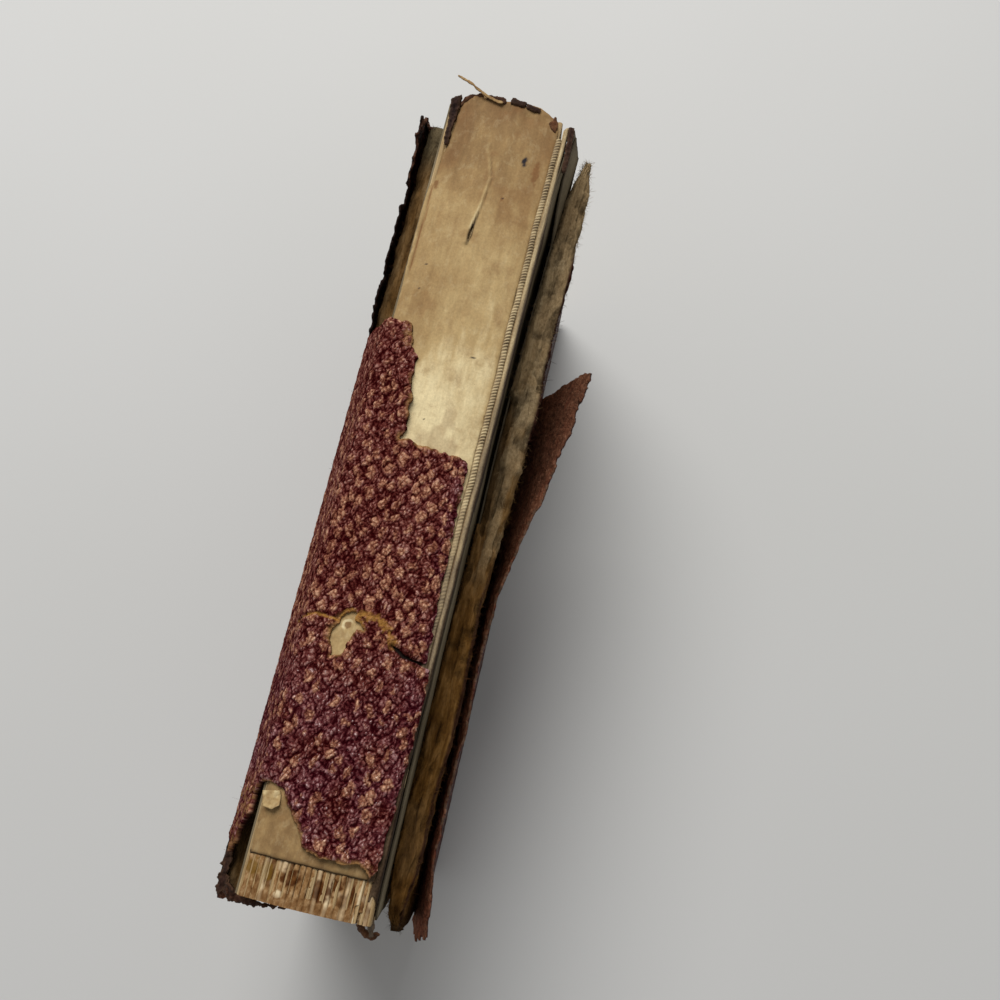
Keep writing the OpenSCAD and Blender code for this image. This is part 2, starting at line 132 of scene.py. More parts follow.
def wander(y, length, seed):
    """Noise along one direction only."""
    return noise(y / length, y * 0, seed)


def cells(x, y, seed, jitter):
    """Distances to the nearest two of a scatter of points, and a random number for the nearest one."""
    ix = np.floor(x)
    iy = np.floor(y)
    near = np.full(np.shape(x), FAR)
    second = np.full(np.shape(x), FAR)
    tone = np.zeros(np.shape(x))
    for dx in (-1, 0, 1):
        for dy in (-1, 0, 1):
            cx = ix + dx
            cy = iy + dy
            px = cx + 0.5 + jitter * (lattice(cx, cy, seed) - 0.5)
            py = cy + 0.5 + jitter * (lattice(cx, cy, seed + 1) - 0.5)
            d = np.hypot(px - x, py - y)
            closer = d < near
            second = np.where(closer, near, np.minimum(second, d))
            tone = np.where(closer, lattice(cx, cy, seed + 2), tone)
            near = np.minimum(near, d)
    return near, second, tone


def smooth(value, low, high):
    """0 below low, 1 above high, and a soft step between."""
    t = np.clip((value - low) / (high - low), 0, 1)
    return t * t * (3 - 2 * t)


def between(value, low, high, soft):
    """1 from low to high, and softly 0 outside."""
    return smooth(value, low - soft, low) * smooth(-value, -high - soft, -high)


def bell(distance, width):
    """1 at no distance, and softly 0 beyond the width on both sides."""
    return np.exp(-(distance / width) ** 2)


def fade(distance, width):
    """1 at no distance, dying away over the width."""
    return np.exp(-distance / width)


def most(first, *more):
    """The greatest of several values at each place."""
    for value in more:
        first = np.maximum(first, value)
    return first


def near_line(x, y, line):
    """Distance from each place to a broken line, and how far along the line the nearest place is."""
    best = np.full(np.shape(x), FAR)
    along = np.zeros(np.shape(x))
    length = 0
    for (ax, ay), (bx, by) in zip(line[:-1], line[1:]):
        step = math.hypot(bx - ax, by - ay)
        t = np.clip(((x - ax) * (bx - ax) + (y - ay) * (by - ay)) / (step * step), 0, 1)
        d = np.hypot(ax + t * (bx - ax) - x, ay + t * (by - ay) - y)
        along = np.where(d < best, length + t * step, along)
        best = np.minimum(best, d)
        length = length + step
    return best, along


def outline_distance(x, y, outline):
    """Distance to a closed outline, below 0 inside it."""
    best, _ = near_line(x, y, outline + outline[:1])
    inside = np.zeros(np.shape(x), bool)
    for (ax, ay), (bx, by) in zip(outline, outline[1:] + outline[:1]):
        crosses = (ay > y) != (by > y)
        at = ax + (y - ay) * (bx - ax) / (by - ay if by != ay else 1e-9)
        inside = inside ^ (crosses & (x < at))
    return np.where(inside, -best, best)


def line_between(start, end, step):
    """Evenly spaced values from start to end, about a step apart."""
    return np.linspace(start, end, max(2, int(round(abs(end - start) / step)) + 1))


def runs(*spans):
    """Values along several spans, each given by its start, its end and its step."""
    return np.concatenate([line_between(*span) for span in spans])


def make_mesh(name, points, faces, look, values=None, soft=True):
    """A new object from points in millimetres, with values that its material reads."""
    mesh = bpy.data.meshes.new(name)
    mesh.from_pydata((np.asarray(points) * MM).tolist(), [], [list(f) for f in faces])
    for key, value in (values or {}).items():
        layer = mesh.attributes.new(key, "FLOAT", "POINT")
        layer.data.foreach_set("value", np.asarray(value, np.float32).ravel())
    mesh.polygons.foreach_set("use_smooth", [soft] * len(mesh.polygons))
    mesh.update()
    mesh.materials.append(look)
    obj = bpy.data.objects.new(name, mesh)
    bpy.context.scene.collection.objects.link(obj)
    return obj


def cell_corners(ids):
    """The four corners of each cell of a grid of point numbers."""
    return np.stack([ids[:-1, :-1], ids[1:, :-1], ids[1:, 1:], ids[:-1, 1:]], -1)


def grid_faces(rows, columns):
    """Faces of a grid of points that are numbered row by row."""
    return cell_corners(np.arange(rows * columns).reshape(rows, columns)).reshape(-1, 4)


def around(mask):
    """How many of the cells round each grid point are in the mask."""
    full = np.pad(mask.astype(int), 1)
    return full[:-1, :-1] + full[1:, :-1] + full[:-1, 1:] + full[1:, 1:]


def shrunk(mask, steps):
    """The mask with a border of cells taken off it."""
    for _ in range(steps):
        full = np.pad(mask, 1)
        mask = full[1:-1, 1:-1] & full[:-2, 1:-1] & full[2:, 1:-1] & full[1:-1, :-2] & full[1:-1, 2:]
    return mask


# Points at a sheet's edge move onto its outline. The first two values are in cells: how near such a point
# has to be, and how far it may move. The third keeps the move small where the outline's distance is level.
EDGE_REACH = 1.3
EDGE_SHIFT = 0.8
LEAST_SLOPE = 0.2


def sheet(name, a_line, b_line, outline, place, thick, look, fields, rim=3):
    """A thin sheet on a grid, cut to an outline, with walls round its edges and an underside.

    outline(a, b) is a distance, below 0 on the sheet. place(a, b, inset) gives points and outward normals,
    and fields(a, b, inset) the values for the material, where inset is the distance from the edge.
    rim is how many cells of underside are made in from the edge, or None for a whole underside."""
    a, b = np.meshgrid(a_line, b_line, indexing="ij")
    d = outline(a, b)
    keep = (d[:-1, :-1] + d[1:, :-1] + d[:-1, 1:] + d[1:, 1:]) < 0
    count = around(keep)
    cell = max(np.diff(a_line).max(), np.diff(b_line).max())
    slope_a, slope_b = np.gradient(d, a_line, b_line)
    slope = np.maximum(slope_a ** 2 + slope_b ** 2, LEAST_SLOPE)
    edge = (count > 0) & (count < 4) & (np.abs(d) < EDGE_REACH * cell)
    shift = np.where(edge, np.clip(d / slope, -EDGE_SHIFT * cell, EDGE_SHIFT * cell), 0)
    a = a - shift * slope_a
    b = b - shift * slope_b
    inset = np.maximum(0, -np.where(edge, 0, d))
    top, normal = place(a, b, inset)
    low_cells = keep if rim is None else keep & ~shrunk(keep, rim)
    on_top = count > 0
    on_low = around(low_cells) > 0
    top_id = np.cumsum(on_top.ravel()).reshape(on_top.shape) - 1
    low_id = np.cumsum(on_low.ravel()).reshape(on_low.shape) - 1 + on_top.sum()
    ids = (top_id, low_id)

    def walls(before, after, first, second):
        start = after & ~before
        end = before & ~after
        (t1, l1), (t2, l2) = first, second
        return np.concatenate([np.stack([t1, t2, l2, l1], -1)[start], np.stack([t2, t1, l1, l2], -1)[end]])

    def both(value):
        value = np.broadcast_to(value, a.shape)
        return np.concatenate([value[on_top], value[on_low]])

    full = np.pad(keep, 1)
    across = walls(full[:-1, 1:-1], full[1:, 1:-1], [i[:, :-1] for i in ids], [i[:, 1:] for i in ids])
    along = walls(full[1:-1, :-1], full[1:-1, 1:], [i[1:] for i in ids], [i[:-1] for i in ids])
    low_faces = cell_corners(low_id)[low_cells][:, ::-1]
    faces = np.concatenate([cell_corners(top_id)[keep], low_faces, across, along])
    depth = np.broadcast_to(thick(a, b, inset) if callable(thick) else thick, a.shape)[..., None]
    points = np.concatenate([top[on_top], (top - normal * depth)[on_low]])
    values = {"across": both(a), "along": both(b)}
    for key, value in fields(a, b, inset).items():
        values[key] = both(value)
    values["under"] = np.concatenate([np.zeros(on_top.sum()), np.ones(on_low.sum())])
    return make_mesh(name, points, faces, look, values)


def on_arc(x, y, radius):
    """Points and normals on the rounded spine, at a distance from the axis of its arc."""
    turn = np.arcsin(np.clip(x / LEATHER_R, -1, 1))
    normal = np.stack([np.sin(turn), np.zeros_like(x), np.cos(turn)], -1)
    points = np.stack([radius * np.sin(turn), y, ARC_Z + radius * np.cos(turn)], -1)
    return points, normal


def facing(side, x, y, z):
    """Points of a sheet, and normals along X on the side given as 1 or -1."""
    flat = np.zeros_like(x)
    return np.stack([x, y, z], -1), np.stack([flat + side, flat, flat], -1)


# Materials

def srgb(red, green, blue):
    """A colour given in the usual 0 to 255 steps, as the renderer needs it."""
    part = [c / 255 for c in (red, green, blue)]
    return tuple(c / 12.92 if c <= 0.04045 else ((c + 0.055) / 1.055) ** 2.4 for c in part) + (1,)


class Look:
    """A material put together from procedural nodes."""

    def __init__(self, name):
        self.material = bpy.data.materials.new(name)
        self.material.use_nodes = True
        self.nodes = self.material.node_tree.nodes
        self.links = self.material.node_tree.links
        self.nodes.clear()

    def add(self, kind, inputs=None, **settings):
        node = self.nodes.new(kind)
        for key, value in settings.items():
            setattr(node, key, value)
        for key, value in (inputs or {}).items():
            if isinstance(value, bpy.types.NodeSocket):
                self.links.new(value, node.inputs[key])
            else:
                node.inputs[key].default_value = value
        return node

    def value(self, name):
        return self.add("ShaderNodeAttribute", attribute_name=name).outputs["Fac"]

    def place(self, per_mm):
        """Object coordinates, counted in steps of the given number per millimetre along each axis."""
        where = self.add("ShaderNodeTexCoord").outputs["Object"]
        scale = tuple(k / MM for k in per_mm)
        return self.add("ShaderNodeVectorMath", {0: where, 1: scale}, operation="MULTIPLY").outputs[0]

    def height(self):
        """Height above the table in millimetres."""
        return self.add("ShaderNodeSeparateXYZ", {0: self.place((1, 1, 1))}).outputs["Z"]

    def noise(self, per_mm, detail=4.0, rough=0.6, bend=0.0):
        inputs = {"Vector": self.place(per_mm), "Scale": 1.0, "Detail": detail, "Roughness": rough,
                  "Distortion": bend}
        return self.add("ShaderNodeTexNoise", inputs).outputs["Fac"]

    def on_sheet(self, size, amount):
        """A sheet's own coordinates in millimetres, bent by noise of a size."""
        flat = self.add("ShaderNodeCombineXYZ", {0: self.value("across"), 1: self.value("along")})
        flat = flat.outputs[0]
        inputs = {"Vector": flat, "Scale": 1 / size, "Detail": 1.0}
        bend = self.add("ShaderNodeTexNoise", inputs).outputs["Color"]
        inputs = {0: bend, 1: (amount, amount, 0), 2: flat}
        return self.add("ShaderNodeVectorMath", inputs, operation="MULTIPLY_ADD").outputs[0]

    def cells(self, where, scale, kind="2D"):
        """A random number for each of a scatter of cells, and the distance to the cells' edges."""
        inputs = {"Vector": where, "Scale": scale}
        pick = self.add("ShaderNodeTexVoronoi", inputs, voronoi_dimensions=kind).outputs["Color"]
        edge = self.add("ShaderNodeTexVoronoi", inputs, voronoi_dimensions=kind, feature="DISTANCE_TO_EDGE")
        return self.add("ShaderNodeSeparateColor", {0: pick}).outputs[0], edge.outputs["Distance"]

    def combine(self, operation, first, *more):
        for value in more:
            first = self.add("ShaderNodeMath", {0: first, 1: value}, operation=operation).outputs[0]
        return first

    def total(self, *values):
        return self.combine("ADD", *values)

    def product(self, *values):
        return self.combine("MULTIPLY", *values)

    def span(self, value, low, high, start=0.0, end=1.0):
        """The value's run from low to high, turned into a run from start to end and held there."""
        inputs = {"Value": value, "From Min": low, "From Max": high, "To Min": start, "To Max": end}
        return self.add("ShaderNodeMapRange", inputs).outputs["Result"]

    def ramp(self, value, *stops):
        """Colours along a value, each stop given by its place and its red, green and blue."""
        node = self.add("ShaderNodeValToRGB", {"Fac": value})
        ramp = node.color_ramp
        while len(ramp.elements) < len(stops):
            ramp.elements.new(0.5)
        for element, (at, *colour) in zip(ramp.elements, stops):
            element.position = at
            element.color = srgb(*colour)
        return node.outputs["Color"]

    def mix(self, share, a, b):
        """Colour a, turned into colour b by the share."""
        a = a if isinstance(a, bpy.types.NodeSocket) else srgb(*a)
        b = b if isinstance(b, bpy.types.NodeSocket) else srgb(*b)
        return self.add("ShaderNodeMix", {0: share, 6: a, 7: b}, data_type="RGBA").outputs[2]

    def tint(self, name, a, b):
        """Colour a, turned into colour b by the mesh's value of that name."""
        return self.mix(self.value(name), a, b)

    def shade(self, colour, value, low, high):
        """The colour made darker and lighter by a value from 0 to 1."""
        factor = self.span(value, 0.25, 0.75, low, high)
        return self.add("ShaderNodeVectorMath", {0: colour, 1: factor}, operation="MULTIPLY").outputs[0]

    def bump(self, height, depth):
        inputs = {"Height": height, "Distance": depth * MM, "Strength": 1.0}
        return self.add("ShaderNodeBump", inputs).outputs["Normal"]

    def done(self, colour, rough, normal=None, specular=0.5):
        inputs = {"Base Color": colour, "Roughness": rough, "Specular IOR Level": specular}
        if normal is not None:
            inputs["Normal"] = normal
        surface = self.add("ShaderNodeBsdfPrincipled", inputs).outputs["BSDF"]
        self.add("ShaderNodeOutputMaterial", {"Surface": surface})
        return self.material


def leather_look():
    """Pebbled spine leather: painted shade in the creases and painted light on the pebbles' tops, worn tan
    rosettes, and raw tan where it is torn.
    """
    m = Look("spine_leather")
    pebble = m.value("pebble")
    crease = m.value("crease")
    fine, grit = m.cells(m.on_sheet(0.7, 0.6), 2.0)
    speck = m.noise((2.6, 2.0, 2.6), 4, 0.7)
    patch = m.noise((0.13, 0.1, 0.13), 3)
    # Painted light and shade for the grain: the level rises on the pebbles' tops and falls in the creases,
    # and the ramps' upper stops, lavender in the plum one, are painted highlights.
    level = m.total(m.span(pebble, 0.0, 1.0, 0.02, 0.45), m.span(speck, 0.3, 0.7, -0.1, 0.36),
                    m.span(patch, 0.3, 0.7, -0.08, 0.1), m.product(m.value("tone"), 0.24))
    level = m.combine("SUBTRACT", level, m.product(crease, 0.29))
    ground = m.ramp(level, (0.1, 44, 5, 7), (0.34, 82, 34, 30), (0.58, 122, 73, 65), (0.88, 172, 130, 117))
    plum = m.ramp(level, (0.1, 42, 4, 12), (0.34, 74, 27, 35), (0.58, 112, 66, 70), (0.88, 168, 128, 132))
    tan = m.ramp(level, (0.08, 56, 14, 12), (0.32, 116, 68, 52), (0.58, 160, 111, 87), (0.88, 206, 161, 130))
    lobed = m.total(m.value("worn"), m.span(speck, 0.25, 0.75, -0.15, 0.15))
    colour = m.mix(m.span(lobed, 0.2, 0.75, 0.0, 0.92), m.tint("purple", ground, plum), tan)
    # Painted shade in the fine lines between small cells.
    colour = m.shade(colour, m.span(grit, 0.0, 0.22, 0.25, 0.75), 0.7, 1.12)
    fibre = m.noise((1.8, 1.8, 1.8), 5, 0.75)
    raw = m.ramp(fibre, (0.25, 98, 62, 36), (0.5, 146, 108, 66), (0.75, 190, 156, 108))
    colour = m.tint("torn", colour, raw)
    colour = m.tint("ochre", colour, m.ramp(fibre, (0.3, 118, 72, 32), (0.7, 188, 142, 74)))
    colour = m.tint("under", colour, m.ramp(fibre, (0.3, 32, 15, 12), (0.7, 72, 44, 34)))
    # Painted shade: along the right crack the leather is coloured nearly black.
    colour = m.tint("black", colour, (14, 6, 5))
    bare = m.combine("MAXIMUM", m.value("torn"), m.value("under"))
    shine = m.product(m.span(fine, 0.55, 0.9, 0.02, 0.9), m.span(bare, 0.0, 0.6, 1.0, 0.1), m.value("shine"),
                      m.span(pebble, 0.4, 0.9), m.span(crease, 0.1, 0.6, 1.0, 0.0))
    return m.done(colour, m.span(bare, 0.0, 0.7, 0.33, 0.8), m.bump(grit, 0.14), shine)


def cover_look():
    """The covers' leather: the same grain outside with painted shade in its creases, a dark fibrous flesh
    side, and painted shade where the mesh's dark value is set.
    """
    m = Look("cover_leather")
    where = m.place((1, 1, 1))
    tone, edge = m.cells(where, 1.2, "3D")
    _, fold = m.cells(where, 0.55, "3D")
    patch = m.noise((0.16, 0.13, 0.13), 4)
    level = m.total(m.product(tone, 0.6), m.span(patch, 0.3, 0.7, 0.0, 0.4))
    body = m.ramp(level, (0.0, 46, 10, 11), (0.4, 78, 31, 28), (0.75, 108, 58, 52), (1.0, 148, 100, 88))
    rub = m.product(m.span(m.noise((0.36, 0.3, 0.3), 2), 0.54, 0.64), m.span(tone, 0.1, 0.6))
    body = m.mix(rub, body, m.ramp(tone, (0.0, 118, 70, 54), (1.0, 176, 130, 104)))
    # Painted shade in the creases.
    crease = m.product(m.span(edge, 0.02, 0.14), m.span(fold, 0.0, 0.08, 0.35, 1.0))
    nap = m.noise((1.7, 1.1, 1.1), 6, 0.8)
    streak = m.noise((0.5, 0.2, 0.6), 4, 0.6)
    flesh = m.ramp(nap, (0.28, 74, 43, 28), (0.5, 126, 80, 58), (0.72, 184, 134, 104))
    flesh = m.mix(m.span(streak, 0.5, 0.75, 0.0, 0.5), flesh, (140, 76, 56))
    flesh = m.tint("red", flesh, m.ramp(nap, (0.3, 84, 38, 26), (0.7, 176, 110, 82)))
    colour = m.tint("under", m.mix(crease, (32, 7, 8), body), flesh)
    raw = m.ramp(nap, (0.25, 82, 58, 44), (0.5, 118, 90, 72), (0.75, 152, 124, 102))
    colour = m.tint("torn", colour, raw)
    # Painted shade on the back cover's top strip and the peeled flap's lower part, with random dark patches
    # on the flap.
    colour = m.tint("dark", colour, m.ramp(nap, (0.3, 14, 6, 4), (0.75, 44, 26, 20)))
    height = m.total(m.product(crease, 0.5), m.product(nap, 0.5))
    return m.done(colour, m.span(m.value("under"), 0.0, 1.0, 0.5, 0.95), m.bump(height, 0.22), 0.1)


def lining_look():
    """Old lining paper with stains, lengthwise fibres, and painted shade in its splits and along its curled
    margin's fold.
    """
    m = Look("spine_lining")
    fibre = m.noise((1.5, 0.3, 1.0), 5, 0.65)
    fleck = m.noise((2.6, 2.2, 2.2), 4, 0.7)
    cloud = m.noise((0.12, 0.08, 0.1), 5, 0.6)
    blot = m.noise((0.34, 0.26, 0.3), 5, 0.65, 0.6)
    bleach = m.noise((0.7, 0.45, 0.6), 4, 0.7, 0.5)
    dirt = m.noise((0.9, 0.9, 0.9), 2)
    tone = m.total(m.value("tone"), m.span(cloud, 0.3, 0.7, -0.24, 0.2))
    colour = m.ramp(tone, (0.0, 126, 98, 64), (0.33, 155, 126, 84), (0.67, 181, 155, 109),
                    (1.0, 222, 204, 160))
    colour = m.mix(m.span(blot, 0.5, 0.75, 0.0, 0.6), colour, (146, 116, 78))
    colour = m.mix(m.span(bleach, 0.52, 0.76, 0.0, 0.22), colour, (214, 196, 154))
    # Stains, with painted shade along the fold of the curled margin.
    colour = m.tint("stain", colour, (118, 78, 44))
    colour = m.shade(m.shade(colour, fibre, 0.9, 1.08), fleck, 0.83, 1.13)
    colour = m.mix(m.span(dirt, 0.77, 0.8), colour, (110, 84, 54))
    # Painted shade in the splits, along the tail edge and under the leather's right crack.
    colour = m.tint("crack", colour, (30, 20, 14))
    colour = m.tint("ink", colour, (36, 32, 38))
    height = m.total(m.product(fibre, 0.7), m.product(fleck, 0.4))
    return m.done(colour, 0.75, m.bump(height, 0.07), 0.15)


def folds_look():
    """Backs of the folded sections, with old glue between and on them, and painted shade in the grooves
    between them.
    """
    m = Look("section_folds")
    fibre = m.noise((2.4, 0.5, 1.2), 5, 0.7)
    spot = m.noise((1.3, 0.8, 1.0), 4, 0.7)
    cream = m.ramp(spot, (0.3, 112, 76, 40), (0.5, 150, 114, 74), (0.75, 200, 168, 126))
    glue = m.ramp(spot, (0.3, 62, 30, 10), (0.5, 82, 46, 18), (0.72, 112, 72, 34))
    colour = m.tint("glue", cream, glue)
    colour = m.tint("ochre", colour, (112, 82, 28))
    colour = m.tint("white", colour, (234, 214, 176))
    # Painted shade in the grooves between the sections and in the slots.
    colour = m.tint("groove", colour, (52, 26, 10))
    colour = m.shade(colour, fibre, 0.86, 1.1)
    return m.done(colour, m.span(m.value("glue"), 0.0, 1.0, 0.7, 0.5), m.bump(fibre, 0.08), 0.06)


def cloth_look():
    """Corded cloth at the front shoulder, pale at the head and darker towards the tail as painted shade for
    light that falls off there, with painted shade in its grooves and down its side.
    """
    m = Look("joint_cloth")
    thread = m.noise((3.6, 2.4, 3.6), 4, 0.7)
    dirt = m.noise((0.5, 0.16, 0.4), 4)
    tone = m.total(m.value("tone"), m.span(thread, 0.3, 0.7, -0.12, 0.12), m.span(dirt, 0.3, 0.7, -0.1, 0.08))
    colour = m.ramp(tone, (0.0, 46, 32, 20), (0.25, 88, 70, 52), (0.5, 126, 110, 88), (0.75, 168, 147, 112),
                    (1.0, 206, 188, 148))
    # Painted shade along the rope's sides and in the seam beside it.
    colour = m.tint("groove", colour, (104, 74, 36))
    return m.done(colour, 0.8, m.bump(thread, 0.06), 0.15)


def endpaper_look(name, dark_from):
    """Grey-olive endpaper with dusty grain, nearly black above a height."""
    m = Look(name)
    fibre = m.noise((1.6, 0.5, 0.7), 5, 0.7)
    cloud = m.noise((0.16, 0.06, 0.1), 4)
    colour = m.ramp(cloud, (0.3, 98, 86, 66), (0.5, 118, 106, 84), (0.7, 136, 124, 100))
    colour = m.shade(colour, fibre, 0.84, 1.12)
    colour = m.mix(m.span(m.noise((0.6, 0.6, 0.6), 3), 0.66, 0.72), colour, (84, 70, 50))
    colour = m.mix(m.product(m.value("torn"), 0.7), colour, (62, 54, 43))
    colour = m.mix(m.span(m.height(), dark_from - 8, dark_from), colour, (22, 13, 7))
    return m.done(colour, 0.85, m.bump(fibre, 0.06), 0.1)


def pulp_look():
    """Torn board: felted fibres in brown and olive with paler streaks, and painted shade where the mesh's
    dark value is set.
    """
    m = Look("board_pulp")
    streak = m.noise((1.1, 0.16, 0.5), 6, 0.7, 0.4)
    fluff = m.noise((2.6, 1.4, 2.0), 6, 0.8)
    cloud = m.noise((0.24, 0.07, 0.12), 4, 0.6)
    colour = m.ramp(streak, (0.28, 92, 68, 38), (0.46, 128, 102, 66), (0.6, 154, 128, 92),
                    (0.78, 186, 164, 126))
    colour = m.mix(m.span(cloud, 0.45, 0.7, 0.0, 0.6), colour, (118, 82, 40))
    brown = m.ramp(streak, (0.3, 66, 38, 12), (0.5, 104, 70, 28), (0.72, 142, 104, 56))
    colour = m.tint("brown", colour, brown)
    colour = m.tint("olive", colour, m.ramp(fluff, (0.3, 70, 62, 44), (0.7, 132, 122, 96)))
    colour = m.tint("pale", colour, m.ramp(fluff, (0.3, 128, 108, 78), (0.7, 176, 156, 122)))
    colour = m.tint("red", colour, m.ramp(fluff, (0.3, 28, 12, 8), (0.7, 74, 40, 32)))
    # Painted shade: in the felt's hollows, in the split and the torn hollow, beside the leaves and at the
    # tail end.
    colour = m.tint("dark", colour, (26, 16, 8))
    colour = m.shade(colour, fluff, 0.72, 1.22)
    height = m.total(fluff, m.product(streak, 0.6))
    return m.done(colour, 0.95, m.bump(height, 0.3), 0.05)


def pages_look():
    """Edges of the leaves: fine lines of single leaves, browned and dusty."""
    m = Look("page_edges")
    leaf = m.noise((9.0, 0.05, 0.05), 3, 0.7)
    group = m.noise((1.4, 0.02, 0.02), 3, 0.7)
    dust = m.noise((0.12, 0.1, 0.1), 5, 0.6)
    colour = m.ramp(leaf, (0.3, 132, 104, 68), (0.5, 184, 156, 112), (0.7, 212, 190, 150))
    colour = m.shade(colour, group, 0.82, 1.1)
    colour = m.mix(m.span(dust, 0.45, 0.75, 0.0, 0.6), colour, (132, 98, 58))
    return m.done(colour, 0.85, m.bump(m.total(leaf, group), 0.18), 0.15)


def scrap_look():
    """Dried scraps of leather, from nearly black to brown, and grey ones of paper."""
    m = Look("leather_scrap")
    crust = m.noise((1.5, 1.3, 1.3), 6, 0.75)
    colour = m.ramp(crust, (0.3, 14, 6, 6), (0.5, 30, 16, 15), (0.72, 62, 41, 37))
    brown = m.ramp(crust, (0.3, 58, 28, 14), (0.5, 98, 60, 36), (0.72, 140, 98, 66))
    colour = m.tint("brown", colour, brown)
    colour = m.tint("grey", colour, m.ramp(crust, (0.3, 76, 64, 54), (0.7, 142, 128, 110)))
    colour = m.mix(m.product(m.value("torn"), 0.35), colour, (116, 88, 66))
    return m.done(colour, 0.75, m.bump(crust, 0.25), 0.12)


def cord_look():
    """Hemp sewing cords."""
    m = Look("sewing_cord")
    twist = m.noise((0.8, 3.0, 3.0), 4, 0.7)
    colour = m.ramp(twist, (0.3, 124, 96, 60), (0.7, 180, 150, 104))
    return m.done(colour, 0.9, m.bump(twist, 0.2), 0.15)


LEATHER = leather_look()
COVER = cover_look()
LINING = lining_look()
FOLDS = folds_look()
CLOTH = cloth_look()
ENDPAPER = endpaper_look("endpaper", 130.0)
PASTEDOWN = endpaper_look("pastedown", 82.0)
PULP = pulp_look()
PAGES = pages_look()
SCRAP = scrap_look()
CORD = cord_look()


# Faces of the covers, as in the part's source

def side_x(z):
    return FORE_HALF + (HALF_THICK - FORE_HALF) * np.minimum(z, SHOULDER_Z) / SHOULDER_Z


def front_in(y, z):
    bow = np.maximum(0, y / BOARD_HALF) ** 2
    return side_x(z) + FRONT_ROOM + FRONT_WARP * bow * np.minimum(1, z / BOARD_TOP) ** 2


def front_out(y, z):
    rise = np.maximum(0, (np.minimum(z, BOARD_TOP) - PEEL_HEIGHT) / (BOARD_TOP - PEEL_HEIGHT)) ** 2
    spread = FRONT_SPREAD * np.interp(y / BOARD_HALF, SPREAD_AT, SPREAD_SHARE)
    return front_in(y, z) + BOARD_THICK + spread * rise


def back_in(y, z):
    return -side_x(z) - BACK_GAP + y * 0


def back_out(y, z):
    return back_in(y, z) - BOARD_THICK


def peel_off(y):
    return PEEL_LEAN + PEEL_FLARE * np.interp(y / BOARD_HALF, FLARE_AT, FLARE_SHARE)


# Spine leather and the leather of the back joint, as one sheet

PROFILE_STEP = 0.05
PROFILE_SOFT = 24


def profile(points):
    """Points and outward normals along a broken line in X and Z, by the distance along it."""
    points = np.array(points, float)
    length = np.concatenate([[0], np.cumsum(np.hypot(*np.diff(points, axis=0).T))])
    s = np.arange(0, length[-1], PROFILE_STEP)
    window = np.hanning(2 * PROFILE_SOFT + 3)[1:-1]
    window = window / window.sum()

    def smoothed(v):
        padded = np.pad(v, PROFILE_SOFT, mode="reflect", reflect_type="odd")
        return np.convolve(padded, window, mode="valid")

    x = smoothed(np.interp(s, length, points[:, 0]))
    z = smoothed(np.interp(s, length, points[:, 1]))
    tx = np.gradient(x, s)
    tz = np.gradient(z, s)
    size = np.hypot(tx, tz)
    return s, x, z, smoothed(-tz / size), smoothed(tx / size)


SHOULDER_X = -10.6
ARC_POINTS = 120
JOINT_PROFILE = [(-16.78, 81.0), (-16.82, 83.2), (-16.6, 84.5), (-16.0, 86.0), (-14.95, 88.3), (-13.9, 90.6),
                 (-12.9, 92.7), (-12.3, 93.95), (-11.9, 94.65), (-11.4, 95.15)]
arc_x = np.linspace(SHOULDER_X, HALF_THICK + 0.2, ARC_POINTS)
arc_profile = [(x, ARC_Z + math.sqrt(LEATHER_R ** 2 - x * x)) for x in arc_x]
spine_s, spine_x, spine_z, spine_nx, spine_nz = profile(JOINT_PROFILE + arc_profile)


def spine_at(s, values):
    """Values of the spine's profile at a distance along it."""
    return np.interp(s, spine_s, values)


def spine_outline(points):
    """Places across and along the book, with the first as a distance along the spine's profile."""
    return [(float(np.interp(x, spine_x, spine_s)), y) for x, y in points]


LEATHER_EDGE = spine_outline([
    (-17.2, 26.4), (-15.3, 26.9), (-13.4, 26.2), (-11.4, 26.6), (-9.0, 26.3), (-6.7, 26.0), (-6.2, 23.4),
    (-6.3, 21.7), (-5.4, 20.9), (-4.5, 19.9), (-4.3, 17.5), (-4.0, 15.2), (-3.4, 12.5), (-3.2, 10.1),
    (-2.8, 6.4), (-3.6, 4.6), (-2.2, 4.9), (-0.6, 4.2), (1.6, 4.3), (4.8, 3.6), (7.0, 3.3), (8.7, 2.9),
    (8.9, -1.4), (9.1, -10.1), (9.4, -20.3), (9.9, -28.6), (9.8, -31.9), (10.8, -32.6), (10.9, -39.9),
    (10.6, -50.0), (10.2, -60.2), (9.9, -64.6), (9.2, -66.0), (8.2, -64.6), (6.8, -63.8), (5.1, -64.4),
    (3.0, -64.0), (1.1, -64.3), (-1.0, -63.9), (-2.5, -63.3), (-3.0, -61.8), (-3.6, -60.9), (-5.4, -58.8),
    (-6.6, -57.3), (-7.4, -55.6), (-9.8, -55.2), (-11.4, -55.0), (-12.5, -55.6), (-13.0, -57.6),
    (-12.5, -60.4), (-13.4, -62.0), (-14.2, -64.2), (-14.3, -65.8), (-15.1, -65.2), (-15.4, -67.4),
    (-15.9, -65.8), (-16.9, -66.6), (-17.0, -66.0)])
LEATHER_EDGE = [(-1.0, LEATHER_EDGE[0][1])] + LEATHER_EDGE + [(-1.0, LEATHER_EDGE[-1][1])]
LEATHER_HOLE = spine_outline([
    (-5.8, -33.6), (-6.0, -32.1), (-6.7, -31.1), (-6.6, -29.6), (-5.7, -28.2), (-5.7, -27.3), (-4.4, -25.8),
    (-3.1, -26.2), (-3.3, -27.5), (-2.2, -27.7), (-1.3, -28.7), (-2.7, -28.6), (-3.5, -30.6), (-4.1, -33.1)])
LEFT_CRACK = spine_outline([(-14.0, -29.4), (-12.5, -28.6), (-9.9, -27.4), (-8.4, -27.6), (-6.2, -27.8)])
